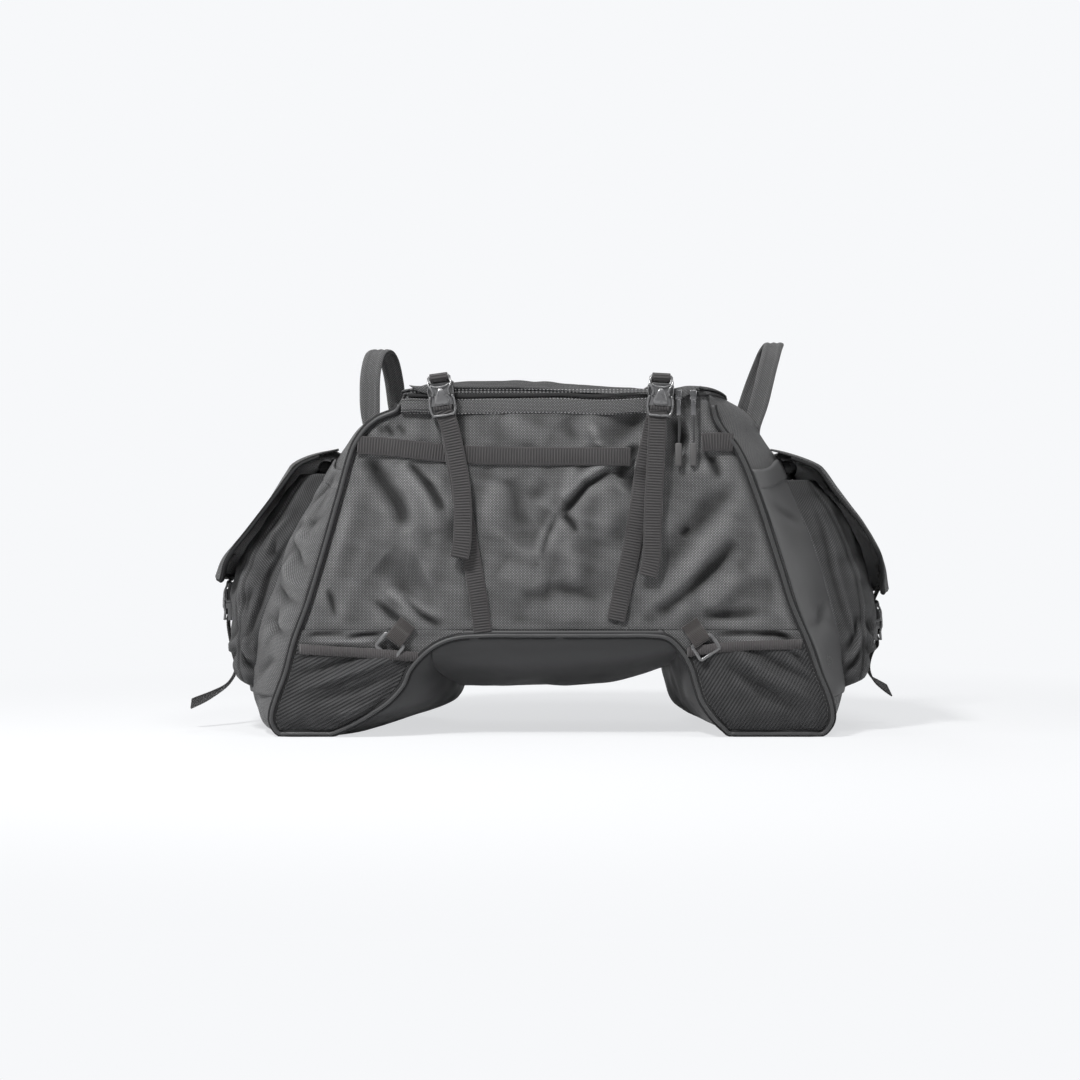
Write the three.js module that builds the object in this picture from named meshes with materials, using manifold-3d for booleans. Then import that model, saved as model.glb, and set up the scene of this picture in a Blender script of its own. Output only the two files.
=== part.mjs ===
import * as THREE from 'three';
import { mergeVertices } from 'three/addons/utils/BufferGeometryUtils.js';
import Module from 'manifold-3d';

const wasm = await Module();
wasm.setup();

// Driving dimensions of the bag, in millimetres
const depth = 330;                 // front panel to back panel
const seamHeight = 120;            // seam between the compartment and the legs
const zipHeight = 383;             // centre line of the zip, and top of the compartment
const lidEdge = 8;                 // standing edge of the lid above the zip
const lidCrown = 18;               // how far the lid domes above its edge
const panelBulge = 6;              // how far the stuffed front and back panels stand out
const bellySag = 70;               // how far the base panel hangs below the seam
const bellyRim = 3;                // thickness of the base panel at its front and back edges
const legRounding = 17;            // how far the legs draw in, front and back, at the floor
const legRoundingHeight = 40;      // height over which they draw in
const originShift = 6;             // centre line of the front panel, right of the origin

// Webbing, piping and cloth stock
const webbingWidth = 20;
const webbingThickness = 1.6;
const pipingRadius = 2.6;
const clothThickness = 2;
const flapThickness = 4;
const seat = 0.5;                  // gap between soft pieces that lie on each other
const pipingFootGap = 1.3;         // gap between the piping and the floor under the legs
const pipingSeat = 0.9;            // gap between the piping and the edge that it follows
const touch = 0.3;                 // gap between pieces that meet

// Side release buckles for this webbing
const buckleWidth = 29;
const buckleThickness = 9.5;
const socketLength = 24;
const plugLength = 21;
const buckleWall = 2;
const barWidth = 3.4;
const slotHeight = 4.6;
const prongLength = 15;
const prongThickness = 4.6;
const prongClearance = 0.4;
const armWidth = 3.4;
const guideWidth = 5;

// Rectangular slotted rings on their folded tabs
const ringWidth = 29;
const ringHeight = 22;
const ringThickness = 4;
const ringBar = 3.4;
const tabLength = 24;

// Handles
const handleWidth = 26;
const handleThickness = 6;

// Zip
const zipWidth = 7;
const zipThickness = 1.4;
const zipLeftEnd = -160;
const zipRightEnd = 172;
const bandHeight = 11;
const bandThickness = 1.2;
const sliderWidth = 8;
const sliderHeight = 11;
const sliderThickness = 4.4;
const pullTabWidth = 5;
const pullTabLength = 18;
const pullTabThickness = 1.4;
const pullClearance = 0.4;         // slider to the back of its pull tab, so that the tab's top can turn
const pullCordLength = 30;
const pullCordRadius = 1.3;
const pullGripWidth = 7.4;
const pullGripLength = 26;
const pullGripThickness = 5;

// Outlines as [height, distance from the centre line]: piping edge and the middle of the depth.
// The points of a handle are [x, y, height above the zip]
const left = {
  side: -1,
  piping: [[0, 290], [6, 304], [20, 311], [45, 305], [72, 295], [106, 286], [150, 270], [220, 249],
    [284, 231], [324, 219], [345, 205], [355, 192], [364, 172], [383, 166]],
  end: [[0, 322], [6, 336], [22, 346], [50, 355], [100, 355], [150, 345], [221, 318], [260, 292],
    [300, 266], [331, 243], [353, 226], [363, 210], [374, 184], [383, 172]],
  innerFront: [[0, 205], [12, 197], [29, 181], [42, 172], [76, 161], [91, 149], [106, 130], [114, 108], [120, 84]],
  innerMiddle: [[0, 205], [5, 188], [14, 163], [24, 130], [35, 110], [55, 104], [76, 104], [106, 104], [120, 104]],
  pouch: [[50, 361], [62, 369], [85, 376], [110, 378], [150, 378], [180, 372], [223, 348], [263, 318], [297, 294]],
  flap: [[280, 320], [297, 313], [308, 300], [334, 265], [366, 223], [388, 196], [395, 176]],
  pouchBuckleHeight: 148,
  pouchTail: [[381.5, 0, 88], [377, -3, 68], [384, -14, 51], [402, -34, 38], [422, -54, 29]],
  buckle: { x: -123, z: zipHeight - 2, tilt: 8 },
  strapFoot: [-79, 122],
  tail: { length: 162, lean: 3 },
  handle: [[-219, -60, -31], [-222, -52, 2], [-222, -40, 35], [-216, -20, 58], [-206, 4, 64],
    [-196, 26, 55], [-191, 42, 29], [-189, 54, 2], [-188, 64, -16]],
  ring: { x: -175, z: 110, tilt: -38 },
};
const right = {
  side: 1,
  piping: [[0, 286], [6, 302], [20, 311], [45, 307], [72, 296], [97, 288], [134, 271], [202, 249],
    [266, 228], [318, 207], [343, 188], [358, 180], [383, 176]],
  end: [[0, 306], [6, 322], [22, 334], [50, 345], [100, 350], [150, 341], [221, 320], [260, 301],
    [305, 279], [331, 260], [346, 251], [359, 245], [373, 230], [383, 206]],
  innerFront: [[0, 206], [5, 202], [20, 186], [42, 170], [79, 158], [97, 148], [107, 139], [114, 129], [120, 118]],
  innerMiddle: [[0, 206], [5, 192], [17, 163], [29, 149], [52, 139], [79, 132], [107, 129], [120, 128]],
  pouch: [[50, 354], [62, 370], [85, 379], [110, 382], [150, 382], [190, 372], [223, 356], [263, 330], [290, 306]],
  flap: [[292, 320], [318, 303], [337, 282], [352, 265], [371, 242], [384, 218], [394, 190], [396, 162]],
  pouchBuckleHeight: 124,
  pouchTail: [[385.5, 0, 88], [381, 2, 68], [386, 4, 55], [396, 6, 47], [407, 7, 40]],
  buckle: { x: 120.7, z: zipHeight - 2, tilt: -3 },
  strapFoot: [68, 122],
  tail: { length: 186, lean: -3 },
  handle: [[236, -60, -31], [245, -50, 2], [254, -38, 35], [263, -20, 64], [267, 0, 72],
    [262, 20, 64], [251, 38, 35], [240, 50, 2], [231, 60, -23]],
  ring: { x: 166.5, z: 109, tilt: 34 },
};
const sides = { left, right };

// Other pieces on the front
const crossHeight = 314;
const crossLeft = -206;
const crossRight = 90;
const crossStubLeft = 162;
const crossStubRight = 183;
const crossStubHeight = 332;
const crossStubDrop = 4;
const pouchHalfWidth = 108;
const endPanelTop = 316;
const endPanelFoot = 44;
const meshTop = 99;
const meshFoot = 12;
const meshMargin = 7;
const pullSpots = { left: 141, right: 157.5 };
const bandHang = 6;                // from the middle of the zip down to the band's top edge
const crossLift = 0.8;             // how far the cross webbing stands off the bulging panel at its edges
const buckleStandoff = 5.5;        // front panel to the back of a front buckle
const pullHinge = 6;               // from the middle of the zip down to the hinge of a pull
const hemLength = 14;              // folded end of a strap tail

// Materials
const cloth = new THREE.MeshStandardMaterial({ color: 0x5c5c5c, roughness: 0.85, metalness: 0 });
const smoothCloth = new THREE.MeshStandardMaterial({ color: 0x555555, roughness: 0.7, metalness: 0 });
const coatedCloth = new THREE.MeshStandardMaterial({ color: 0x3b3b3b, roughness: 0.6, metalness: 0 });
const meshCloth = new THREE.MeshStandardMaterial({ color: 0x3f3f3f, roughness: 0.9, metalness: 0 });
const webbing = new THREE.MeshStandardMaterial({ color: 0x4a4747, roughness: 0.9, metalness: 0 });
const trim = new THREE.MeshStandardMaterial({ color: 0x262626, roughness: 0.6, metalness: 0 });
const plastic = new THREE.MeshStandardMaterial({ color: 0x101010, roughness: 0.25, metalness: 0 });
const metal = new THREE.MeshStandardMaterial({ color: 0x2a2a2a, roughness: 0.35, metalness: 0.8 });

const bag = new THREE.Group();
bag.position.x = originShift;

function add(name, geometry, material, parent = bag) {
  const mesh = new THREE.Mesh(geometry, material);
  mesh.name = name;
  parent.add(mesh);
  return mesh;
}

// A smooth curve through the points of an outline, read at any height
function through(points) {
  const slope = points.map((point, i) => {
    const before = points[Math.max(i - 1, 0)];
    const after = points[Math.min(i + 1, points.length - 1)];
    return (after[1] - before[1]) / (after[0] - before[0]);
  });
  return (height) => {
    let i = 0;
    while (i < points.length - 2 && height > points[i + 1][0]) i += 1;
    const [h0, x0] = points[i];
    const [h1, x1] = points[i + 1];
    const span = h1 - h0;
    const t = THREE.MathUtils.clamp((height - h0) / span, 0, 1);
    const t2 = t * t;
    const t3 = t2 * t;
    return x0 * (2 * t3 - 3 * t2 + 1) + slope[i] * span * (t3 - 2 * t2 + t)
      + x1 * (3 * t2 - 2 * t3) + slope[i + 1] * span * (t3 - t2);
  };
}

// The same points joined by straight lines
function straight(points) {
  return (height) => {
    let i = 0;
    while (i < points.length - 2 && height > points[i + 1][0]) i += 1;
    const t = (height - points[i][0]) / (points[i + 1][0] - points[i][0]);
    return points[i][1] + (points[i + 1][1] - points[i][1]) * t;
  };
}

for (const form of Object.values(sides)) {
  form.pipingAt = through(form.piping);
  form.endAt = through(form.end);
  form.innerFrontAt = through(form.innerFront);
  form.innerMiddleAt = through(form.innerMiddle);
  form.pouchAt = straight(form.pouch);
  form.flapAt = straight([...form.flap].reverse().map(([x, z]) => [z, x]));
}

// Half the depth of the bag at a height
function halfDepth(height) {
  const low = Math.max(0, 1 - height / legRoundingHeight);
  return depth / 2 - legRounding * low ** 2.5;
}

// The stuffed bulge of the front panel above the seam
function bulgeAt(x, height) {
  const form = x < 0 ? left : right;
  const across = Math.max(0, 1 - (x / form.pipingAt(height)) ** 2);
  const up = THREE.MathUtils.clamp((height - seamHeight) / (zipHeight - seamHeight), 0, 1);
  return panelBulge * across * Math.sin(Math.PI * up) ** 1.3;
}

function frontAt(x, height) {
  return -halfDepth(height) - bulgeAt(x, height);
}

// Distance of the end gusset from the centre line
function endX(form, height, y) {
  const t = Math.min(1, Math.abs(y) / halfDepth(height));
  const swell = (1 - t ** 2.2) ** 0.7;
  return form.pipingAt(height) + (form.endAt(height) - form.pipingAt(height)) * swell;
}

// Distance of a leg's inner wall from the centre line
function innerX(form, height, y) {
  const t = Math.min(1, Math.abs(y) / halfDepth(height));
  const swell = (1 - t ** 2) ** 0.6;
  return form.innerFrontAt(height) + (form.innerMiddleAt(height) - form.innerFrontAt(height)) * swell;
}

// Turns a list of triangles into a closed geometry whose faces point out
function closedGeometry(points, faces) {
  let volume = 0;
  for (const [a, b, c] of faces) {
    volume += points[a].dot(points[b].clone().cross(points[c]));
  }
  const position = new Float32Array(points.length * 3);
  points.forEach((point, i) => point.toArray(position, i * 3));
  const index = faces.flatMap(([a, b, c]) => (volume > 0 ? [a, b, c] : [a, c, b]));
  const geometry = new THREE.BufferGeometry();
  geometry.setAttribute('position', new THREE.BufferAttribute(position, 3));
  geometry.setIndex(index);
  geometry.computeVertexNormals();
  return geometry;
}

// A solid through a stack of rings with the same number of points, closed by flat fans
function stack(rings) {
  const count = rings[0].length;
  const points = rings.flat();
  const faces = [];
  for (let j = 0; j < rings.length - 1; j += 1) {
    for (let i = 0; i < count; i += 1) {
      const a = j * count + i;
      const b = j * count + (i + 1) % count;
      faces.push([a, b, b + count], [a, b + count, a + count]);
    }
  }
  for (const [ring, flip] of [[0, true], [rings.length - 1, false]]) {
    const middle = new THREE.Vector3();
    rings[ring].forEach((point) => middle.addScaledVector(point, 1 / count));
    const hub = points.push(middle) - 1;
    for (let i = 0; i < count; i += 1) {
      const a = ring * count + i;
      const b = ring * count + (i + 1) % count;
      faces.push(flip ? [hub, b, a] : [hub, a, b]);
    }
  }
  return closedGeometry(points, faces);
}

// A sheet with thickness between two surfaces given over u and v from 0 to 1
function sheet(outer, inner, stepsU, stepsV) {
  const points = [];
  for (const surface of [outer, inner]) {
    for (let i = 0; i <= stepsU; i += 1) {
      for (let j = 0; j <= stepsV; j += 1) points.push(surface(i / stepsU, j / stepsV));
    }
  }
  const row = stepsV + 1;
  const under = row * (stepsU + 1);
  const faces = [];
  for (let i = 0; i < stepsU; i += 1) {
    for (let j = 0; j < stepsV; j += 1) {
      const a = i * row + j;
      faces.push([a, a + row, a + row + 1], [a, a + row + 1, a + 1]);
      faces.push([under + a, under + a + row + 1, under + a + row], [under + a, under + a + 1, under + a + row + 1]);
    }
  }
  const wall = (a, b) => faces.push([a, b, under + b], [a, under + b, under + a]);
  for (let i = 0; i < stepsU; i += 1) {
    wall((i + 1) * row, i * row);
    wall(i * row + stepsV, (i + 1) * row + stepsV);
  }
  for (let j = 0; j < stepsV; j += 1) {
    wall(j, j + 1);
    wall(stepsU * row + j + 1, stepsU * row + j);
  }
  return closedGeometry(points, faces);
}

// A strip of webbing along a line. Its width runs along one direction, or along one for each point,
// and its thickness is added on the side that the width crossed with the line points to
function strip(path, across, width, thickness) {
  const last = path.length - 1;
  const widths = Array.isArray(across) ? across : path.map(() => across);
  const normals = path.map((point, i) => {
    const along = path[Math.min(i + 1, last)].clone().sub(path[Math.max(i - 1, 0)]);
    return widths[i].clone().cross(along).normalize();
  });
  const surface = (lift) => (u, v) => {
    const i = Math.round(u * last);
    return path[i].clone().addScaledVector(widths[i], (v - 0.5) * width).addScaledVector(normals[i], lift);
  };
  return sheet(surface(thickness), surface(0), last, 1);
}

// A flat plate with a given outline and holes, lying in the XZ plane, its back face at y = 0
function plate(outline, holes, thickness) {
  const shape = new THREE.Shape(outline.map(([x, z]) => new THREE.Vector2(x, z)));
  for (const hole of holes) {
    shape.holes.push(new THREE.Path(hole.map(([x, z]) => new THREE.Vector2(x, z))));
  }
  const geometry = new THREE.ExtrudeGeometry(shape, { depth: thickness, bevelEnabled: false });
  geometry.rotateX(Math.PI / 2);
  return geometry;
}

function rectangle(x0, z0, x1, z1) {
  return [[x0, z0], [x1, z0], [x1, z1], [x0, z1]];
}

function box(x0, y0, z0, x1, y1, z1) {
  const geometry = new THREE.BoxGeometry(x1 - x0, y1 - y0, z1 - z0);
  geometry.translate((x0 + x1) / 2, (y0 + y1) / 2, (z0 + z1) / 2);
  return geometry;
}

function tube(points, radius, sidesCount, steps) {
  const curve = new THREE.CatmullRomCurve3(points, false, 'centripetal');
  const section = new THREE.Shape();
  for (let i = 0; i < sidesCount; i += 1) {
    const angle = (2 * Math.PI * i) / sidesCount;
    const corner = [radius * Math.cos(angle), radius * Math.sin(angle)];
    if (i === 0) section.moveTo(...corner);
    else section.lineTo(...corner);
  }
  return new THREE.ExtrudeGeometry(section, { steps, extrudePath: curve });
}

// Cutting and joining of closed meshes
function toSolid(geometry) {
  const bare = geometry.clone();
  bare.deleteAttribute('normal');
  bare.deleteAttribute('uv');
  const merged = mergeVertices(bare, 1e-4);
  return new wasm.Manifold(new wasm.Mesh({
    numProp: 3,
    vertProperties: new Float32Array(merged.attributes.position.array),
    triVerts: new Uint32Array(merged.index.array),
  }));
}

function fromSolid(solid) {
  const mesh = solid.getMesh();
  const geometry = new THREE.BufferGeometry();
  geometry.setAttribute('position', new THREE.BufferAttribute(new Float32Array(mesh.vertProperties), 3));
  geometry.setIndex(Array.from(mesh.triVerts));
  geometry.computeVertexNormals();
  return geometry;
}

function cut(geometry, ...tools) {
  return fromSolid(tools.reduce((rest, tool) => rest.subtract(toSolid(tool)), toSolid(geometry)));
}

function join(...geometries) {
  return fromSolid(geometries.slice(1).reduce((sum, piece) => sum.add(toSolid(piece)), toSolid(geometries[0])));
}

// Evenly spaced values, both ends included
function spaced(from, to, steps) {
  return Array.from({ length: steps + 1 }, (_, i) => from + ((to - from) * i) / steps);
}

// Compartment: rings run along the front, round one end, along the back and round the other
const endSteps = 12;
const panelSteps = 12;
const endAngles = spaced(-Math.PI / 2, Math.PI / 2, endSteps);

function compartmentRing(height, grow) {
  const half = halfDepth(height);
  const ring = [];
  for (const t of spaced(0, 1, panelSteps).slice(0, -1)) {
    const x = -left.pipingAt(height) + (left.pipingAt(height) + right.pipingAt(height)) * t;
    ring.push(new THREE.Vector3(x, frontAt(x, height) - grow, height));
  }
  for (const angle of endAngles.slice(0, -1)) {
    const y = half * Math.sin(angle);
    ring.push(new THREE.Vector3(endX(right, height, y) + grow, y + grow * Math.sin(angle), height));
  }
  for (const t of spaced(1, 0, panelSteps).slice(0, -1)) {
    const x = -left.pipingAt(height) + (left.pipingAt(height) + right.pipingAt(height)) * t;
    ring.push(new THREE.Vector3(x, -frontAt(x, height) + grow, height));
  }
  for (const angle of endAngles.slice(0, -1)) {
    const y = -half * Math.sin(angle);
    ring.push(new THREE.Vector3(-endX(left, height, y) - grow, y - grow * Math.sin(angle), height));
  }
  return ring;
}

const compartmentLevels = [seamHeight + touch, 135, 160, 190, 220, 250, 280, 305, 324, 340, 352, 360, 371, zipHeight];
const compartment = (grow) => stack(compartmentLevels.map((height) => compartmentRing(height, grow)));
add('main_bag', compartment(0), cloth);

// Lid: a standing edge, then a low dome
const lidMiddle = (right.pipingAt(zipHeight) - left.pipingAt(zipHeight)) / 2;
const lidFoot = zipHeight + touch;

function lidPanel() {
  const middle = new THREE.Vector3(lidMiddle, 0, 0);
  const ringAt = (share, height) => compartmentRing(zipHeight, 0).map((point) => {
    const moved = point.sub(middle).multiply(new THREE.Vector3(share, share, 0)).add(middle);
    moved.z = height;
    return moved;
  });
  const rings = [ringAt(1, lidFoot), ringAt(1, lidFoot + lidEdge)];
  for (const share of [0.92, 0.8, 0.6, 0.35, 0.12]) {
    rings.push(ringAt(share, lidFoot + lidEdge + lidCrown * (1 - share ** 2)));
  }
  return stack(rings);
}

// Height of the lid at a place on it: the share of the outline that the place lies on gives it
function lidTop(x, y) {
  const form = x < lidMiddle ? left : right;
  let low = 0.05;
  let high = 1;
  for (let step = 0; step < 30; step += 1) {
    const share = (low + high) / 2;
    const end = endX(form, zipHeight, y / share) - form.side * lidMiddle;
    const inside = Math.abs(y) < share * depth / 2 && Math.abs(x - lidMiddle) < share * end;
    if (inside) high = share;
    else low = share;
  }
  return lidFoot + lidEdge + lidCrown * (1 - high ** 2);
}
add('lid_panel', lidPanel(), cloth);

// Legs: from the seam down to a flat foot
function legRing(form, height, grow) {
  const half = halfDepth(height);
  const inner = (y) => innerX(form, height, y);
  const ring = [];
  const place = (x, y) => ring.push(new THREE.Vector3(form.side * x, y, height));
  const front = spaced(inner(-half), form.pipingAt(height), 6);
  front.slice(0, -1).forEach((x) => place(x, -half - grow));
  endAngles.slice(0, -1).forEach((angle) => {
    const y = half * Math.sin(angle);
    place(endX(form, height, y) + grow, y + grow * Math.sin(angle));
  });
  [...front].reverse().slice(0, -1).forEach((x) => place(x, half + grow));
  spaced(Math.PI / 2, -Math.PI / 2, 10).slice(0, -1).forEach((angle) => {
    const y = half * Math.sin(angle);
    place(inner(y) - grow, y);
  });
  return form.side < 0 ? ring.reverse() : ring;
}

const legLevels = [0, 2, 6, 12, 20, 32, 45, 60, 76, 92, 106, 114, seamHeight - touch];
const leg = (form, grow) => stack(legLevels.map((height) => legRing(form, height, grow)));
for (const [name, form] of Object.entries(sides)) add(`${name}_leg`, leg(form, 0), cloth);

// Base panel: hangs between the legs, thin at the front and back edges
function basePanel() {
  const top = seamHeight - touch;
  const spot = (u, v) => {
    const y = (depth / 2) * Math.sin((v - 0.5) * Math.PI);
    const from = -innerX(left, top, y) + seat;
    const to = innerX(right, top, y) - seat;
    return [from + (to - from) * u, y];
  };
  const outer = (u, v) => {
    const [x, y] = spot(u, v);
    const along = Math.sqrt(Math.max(0, 1 - (2 * y / depth) ** 2));
    const across = 1 - 0.35 * Math.max(0, 2 * u - 1) ** 2;
    return new THREE.Vector3(x, y, top - bellyRim - (bellySag - bellyRim) * along * across);
  };
  const inner = (u, v) => {
    const [x, y] = spot(u, v);
    return new THREE.Vector3(x, y, top);
  };
  return sheet(outer, inner, 12, 12);
}
add('base_panel', basePanel(), coatedCloth);

// Piping along the front and back edges, down each side, round the legs and over the arch
function pipingPath(direction) {
  const outline = [];
  const down = [zipHeight - 16, 355, 340, 324, 284, 220, 150, 106, 72, 45, 20, 8];
  const up = [8, 18, 29, 42, 60, 76, 91, 106, 114];
  const archHeight = seamHeight - touch - bellyRim;
  const archInset = 10;
  const footInset = 12;
  down.forEach((height) => outline.push([-left.pipingAt(height), height]));
  outline.push([footInset - left.pipingAt(0), 0], [-left.innerFrontAt(0) - footInset, 0]);
  up.forEach((height) => outline.push([-left.innerFrontAt(height), height]));
  spaced(archInset - left.innerFrontAt(seamHeight), right.innerFrontAt(seamHeight) - archInset, 5)
    .forEach((x) => outline.push([x, archHeight]));
  [...up].reverse().forEach((height) => outline.push([right.innerFrontAt(height), height]));
  outline.push([right.innerFrontAt(0) + footInset, 0], [right.pipingAt(0) - footInset, 0]);
  [...down].reverse().forEach((height) => outline.push([right.pipingAt(height), height]));
  const reach = pipingRadius + pipingSeat;
  const out = reach * Math.SQRT1_2;
  return outline.map(([x, height], i) => {
    const before = outline[Math.max(i - 1, 0)];
    const after = outline[Math.min(i + 1, outline.length - 1)];
    const run = new THREE.Vector2(after[0] - before[0], after[1] - before[1]).normalize();
    const lowest = pipingRadius + pipingFootGap;
    const z = Math.max(height - run.x * out, lowest);
    const forward = z > lowest ? halfDepth(height) + out : halfDepth(z + pipingRadius) + reach;
    return new THREE.Vector3(x + run.y * out, direction * forward, z);
  });
}
add('front_piping', tube(pipingPath(-1), pipingRadius, 6, 96), trim);
add('back_piping', tube(pipingPath(1), pipingRadius, 6, 96), trim);

// What lies on an end gusset is cut to its shape by this block
function endBlock(form, grow) {
  const levels = [...legLevels, ...compartmentLevels];
  return stack(levels.map((height) => {
    const half = halfDepth(height);
    const ring = endAngles.map((angle) => {
      const y = half * Math.sin(angle);
      return new THREE.Vector3(form.side * (endX(form, height, y) + grow), y + grow * Math.sin(angle), height);
    });
    ring.push(new THREE.Vector3(0, half + grow, height), new THREE.Vector3(0, -half - grow, height));
    return form.side < 0 ? ring.reverse() : ring;
  }));
}

// End panel with the slip pocket: a layer over most of the gusset
function endPanel(form) {
  const margin = 8;
  const reach = depth / 2 - margin;
  const [from, to] = form.side < 0 ? [-depth * 2, -depth / 2] : [depth / 2, depth * 2];
  const area = box(from, -reach, endPanelFoot, to, reach, endPanelTop);
  const layer = toSolid(endBlock(form, seat + clothThickness)).intersect(toSolid(area));
  return fromSolid(layer.subtract(toSolid(endBlock(form, seat))));
}

// End pouch: a soft box on the end panel
function endPouch(form) {
  const rootDepth = 5;
  return cut(stack(form.pouch.map(([height, reach]) => {
    const base = endX(form, height, pouchHalfWidth) - rootDepth;
    return spaced(-Math.PI / 2, Math.PI / 2, 10).map((angle) => {
      const x = base + (reach - base) * Math.max(0, Math.cos(angle)) ** 0.6;
      return new THREE.Vector3(form.side * x, pouchHalfWidth * Math.sin(angle), height);
    });
  })), endBlock(form, 2 * seat + clothThickness));
}

// Flap: sewn to the gusset above the pouch, standing out over it and coming down to a tip
function pouchFlap(form) {
  const rootHeight = endPanelTop + flapThickness + touch;
  const profile = [new THREE.Vector2(0, rootHeight), ...form.flap.map(([x, z]) => new THREE.Vector2(x, z))];
  const last = profile.length - 1;
  const tipHalf = 62;
  const fullHalf = pouchHalfWidth + 6;
  const droop = 13;
  const surface = (lift) => (u, v) => {
    const i = Math.round(u * last);
    const half = i > last - 2 ? THREE.MathUtils.lerp(fullHalf, tipHalf, (i - last + 2) / 2) : fullHalf;
    const y = half * (2 * v - 1);
    const root = endX(form, rootHeight, y) + seat;
    const at = i === 0 ? new THREE.Vector2(root, rootHeight) : profile[i].clone();
    const before = i < 2 ? new THREE.Vector2(root, rootHeight) : profile[i - 1];
    const run = profile[Math.min(i + 1, last)].clone().sub(before).normalize();
    const drop = i === 0 ? 0 : droop * (2 * v - 1) ** 2;
    return new THREE.Vector3(form.side * (at.x - drop + run.y * lift), y, at.y - drop / 2 - run.x * lift);
  };
  return cut(sheet(surface(0), surface(flapThickness), last, 8), endBlock(form, 2 * seat + clothThickness));
}

// Side release buckle, lying in its own XZ plane with its back at y = 0 and its front towards -y.
// The socket is above the plug, and its prongs stand in the socket
const socketTop = socketLength - 1.5;
const socketFloor = -1.5;
const plugTop = socketFloor - touch;
const plugFloor = plugTop - plugLength;
const slotWidth = webbingWidth + 2;
const barThickness = 5;
const innerHalf = buckleWidth / 2 - buckleWall;

function buckleSocket() {
  const half = buckleWidth / 2;
  const cheek = half - 1.5;
  const slotTop = socketTop - barWidth;
  const slotFloor = slotTop - slotHeight;
  const bodyTop = slotFloor;
  const ladder = plate(
    [[-cheek, bodyTop - 1], [cheek, bodyTop - 1], [cheek, socketTop - 1], [cheek - 1, socketTop],
      [1 - cheek, socketTop], [-cheek, socketTop - 1]],
    [rectangle(-slotWidth / 2, slotFloor, slotWidth / 2, slotTop)],
    barThickness,
  );
  const shell = plate([[-half, socketFloor], [half, socketFloor], [half, bodyTop - 3], [cheek, bodyTop],
    [-cheek, bodyTop], [-half, bodyTop - 3]], [], buckleThickness);
  const mouthTop = socketFloor + prongLength + prongClearance;
  const middle = -buckleThickness / 2;
  const room = prongThickness / 2 + prongClearance;
  const mouth = box(-innerHalf, middle - room, socketFloor - 1, innerHalf, middle + room, mouthTop);
  const windowTop = mouthTop - 2;
  const windowFloor = socketFloor + 4;
  const window = box(-half - 1, middle - room, windowFloor, half + 1, middle + room, windowTop);
  return cut(join(shell, ladder), mouth, window);
}

function bucklePlug() {
  const half = buckleWidth / 2;
  const bodyFloor = plugTop - 7;
  const middle = -buckleThickness / 2;
  const body = plate([[-half, bodyFloor], [half, bodyFloor], [half, plugTop], [-half, plugTop]], [], buckleThickness);
  const slotTop = bodyFloor - 1.2;
  const barTop = slotTop - slotHeight;
  const ladder = plate(
    [[-half, bodyFloor + 1], [-half + 1, plugFloor], [half - 1, plugFloor], [half, bodyFloor + 1]],
    [rectangle(-slotWidth / 2, barTop, slotWidth / 2, slotTop)],
    barThickness,
  );
  const arm = (side) => box(
    side < 0 ? -innerHalf + prongClearance : innerHalf - prongClearance - armWidth,
    middle - prongThickness / 2,
    plugTop - 1,
    side < 0 ? -innerHalf + prongClearance + armWidth : innerHalf - prongClearance,
    middle + prongThickness / 2,
    socketFloor + prongLength,
  );
  const guide = box(-guideWidth / 2, middle - prongThickness / 2, plugTop - 1,
    guideWidth / 2, middle + prongThickness / 2, socketFloor + prongLength - 2);
  return { geometry: join(body, ladder, arm(-1), arm(1), guide), barTop, slotTop };
}

// The line of a strap round the socket's bar, from inside the slot to the top of the bar
function barLoop() {
  const middle = { y: -barThickness / 2, z: socketTop - barWidth / 2 };
  const radius = Math.hypot(barThickness, barWidth) / 2 + prongClearance;
  return spaced(300, 90, 8).map((angle) => {
    const turn = angle * Math.PI / 180;
    return new THREE.Vector3(0, middle.y + radius * Math.cos(turn), middle.z + radius * Math.sin(turn));
  });
}

// A folded length of webbing round a bar at the origin, with both its ends up the panel
const loopRadius = 3;
function foldedTab(length) {
  const path = [[loopRadius, length], [loopRadius, length / 2], [loopRadius, loopRadius / 2]];
  for (const angle of spaced(0, Math.PI, 8)) {
    path.push([loopRadius * Math.cos(angle), -loopRadius * Math.sin(angle)]);
  }
  const sewn = loopRadius - touch;
  const sewnFrom = length * 0.6;
  path.push([loopRadius - webbingThickness, length / 2], [sewn, sewnFrom], [sewn, length]);
  return strip(path.map(([y, z]) => new THREE.Vector3(0, y, z)), new THREE.Vector3(1, 0, 0),
    webbingWidth, webbingThickness);
}

function slottedRing() {
  const half = ringWidth / 2;
  const top = ringBar / 2;
  const floor = top - ringHeight;
  const corner = 2.5;
  const outline = [[-half, floor + corner], [-half + corner, floor], [half - corner, floor], [half, floor + corner],
    [half, top - corner], [half - corner, top], [-half + corner, top], [-half, top - corner]];
  const side = (ringWidth - slotWidth) / 2;
  const hole = rectangle(-half + side, floor + ringBar, half - side, top - ringBar);
  const ring = plate(outline, [hole], ringThickness);
  ring.translate(0, ringThickness / 2, 0);
  return ring;
}

const degrees = Math.PI / 180;

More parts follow.
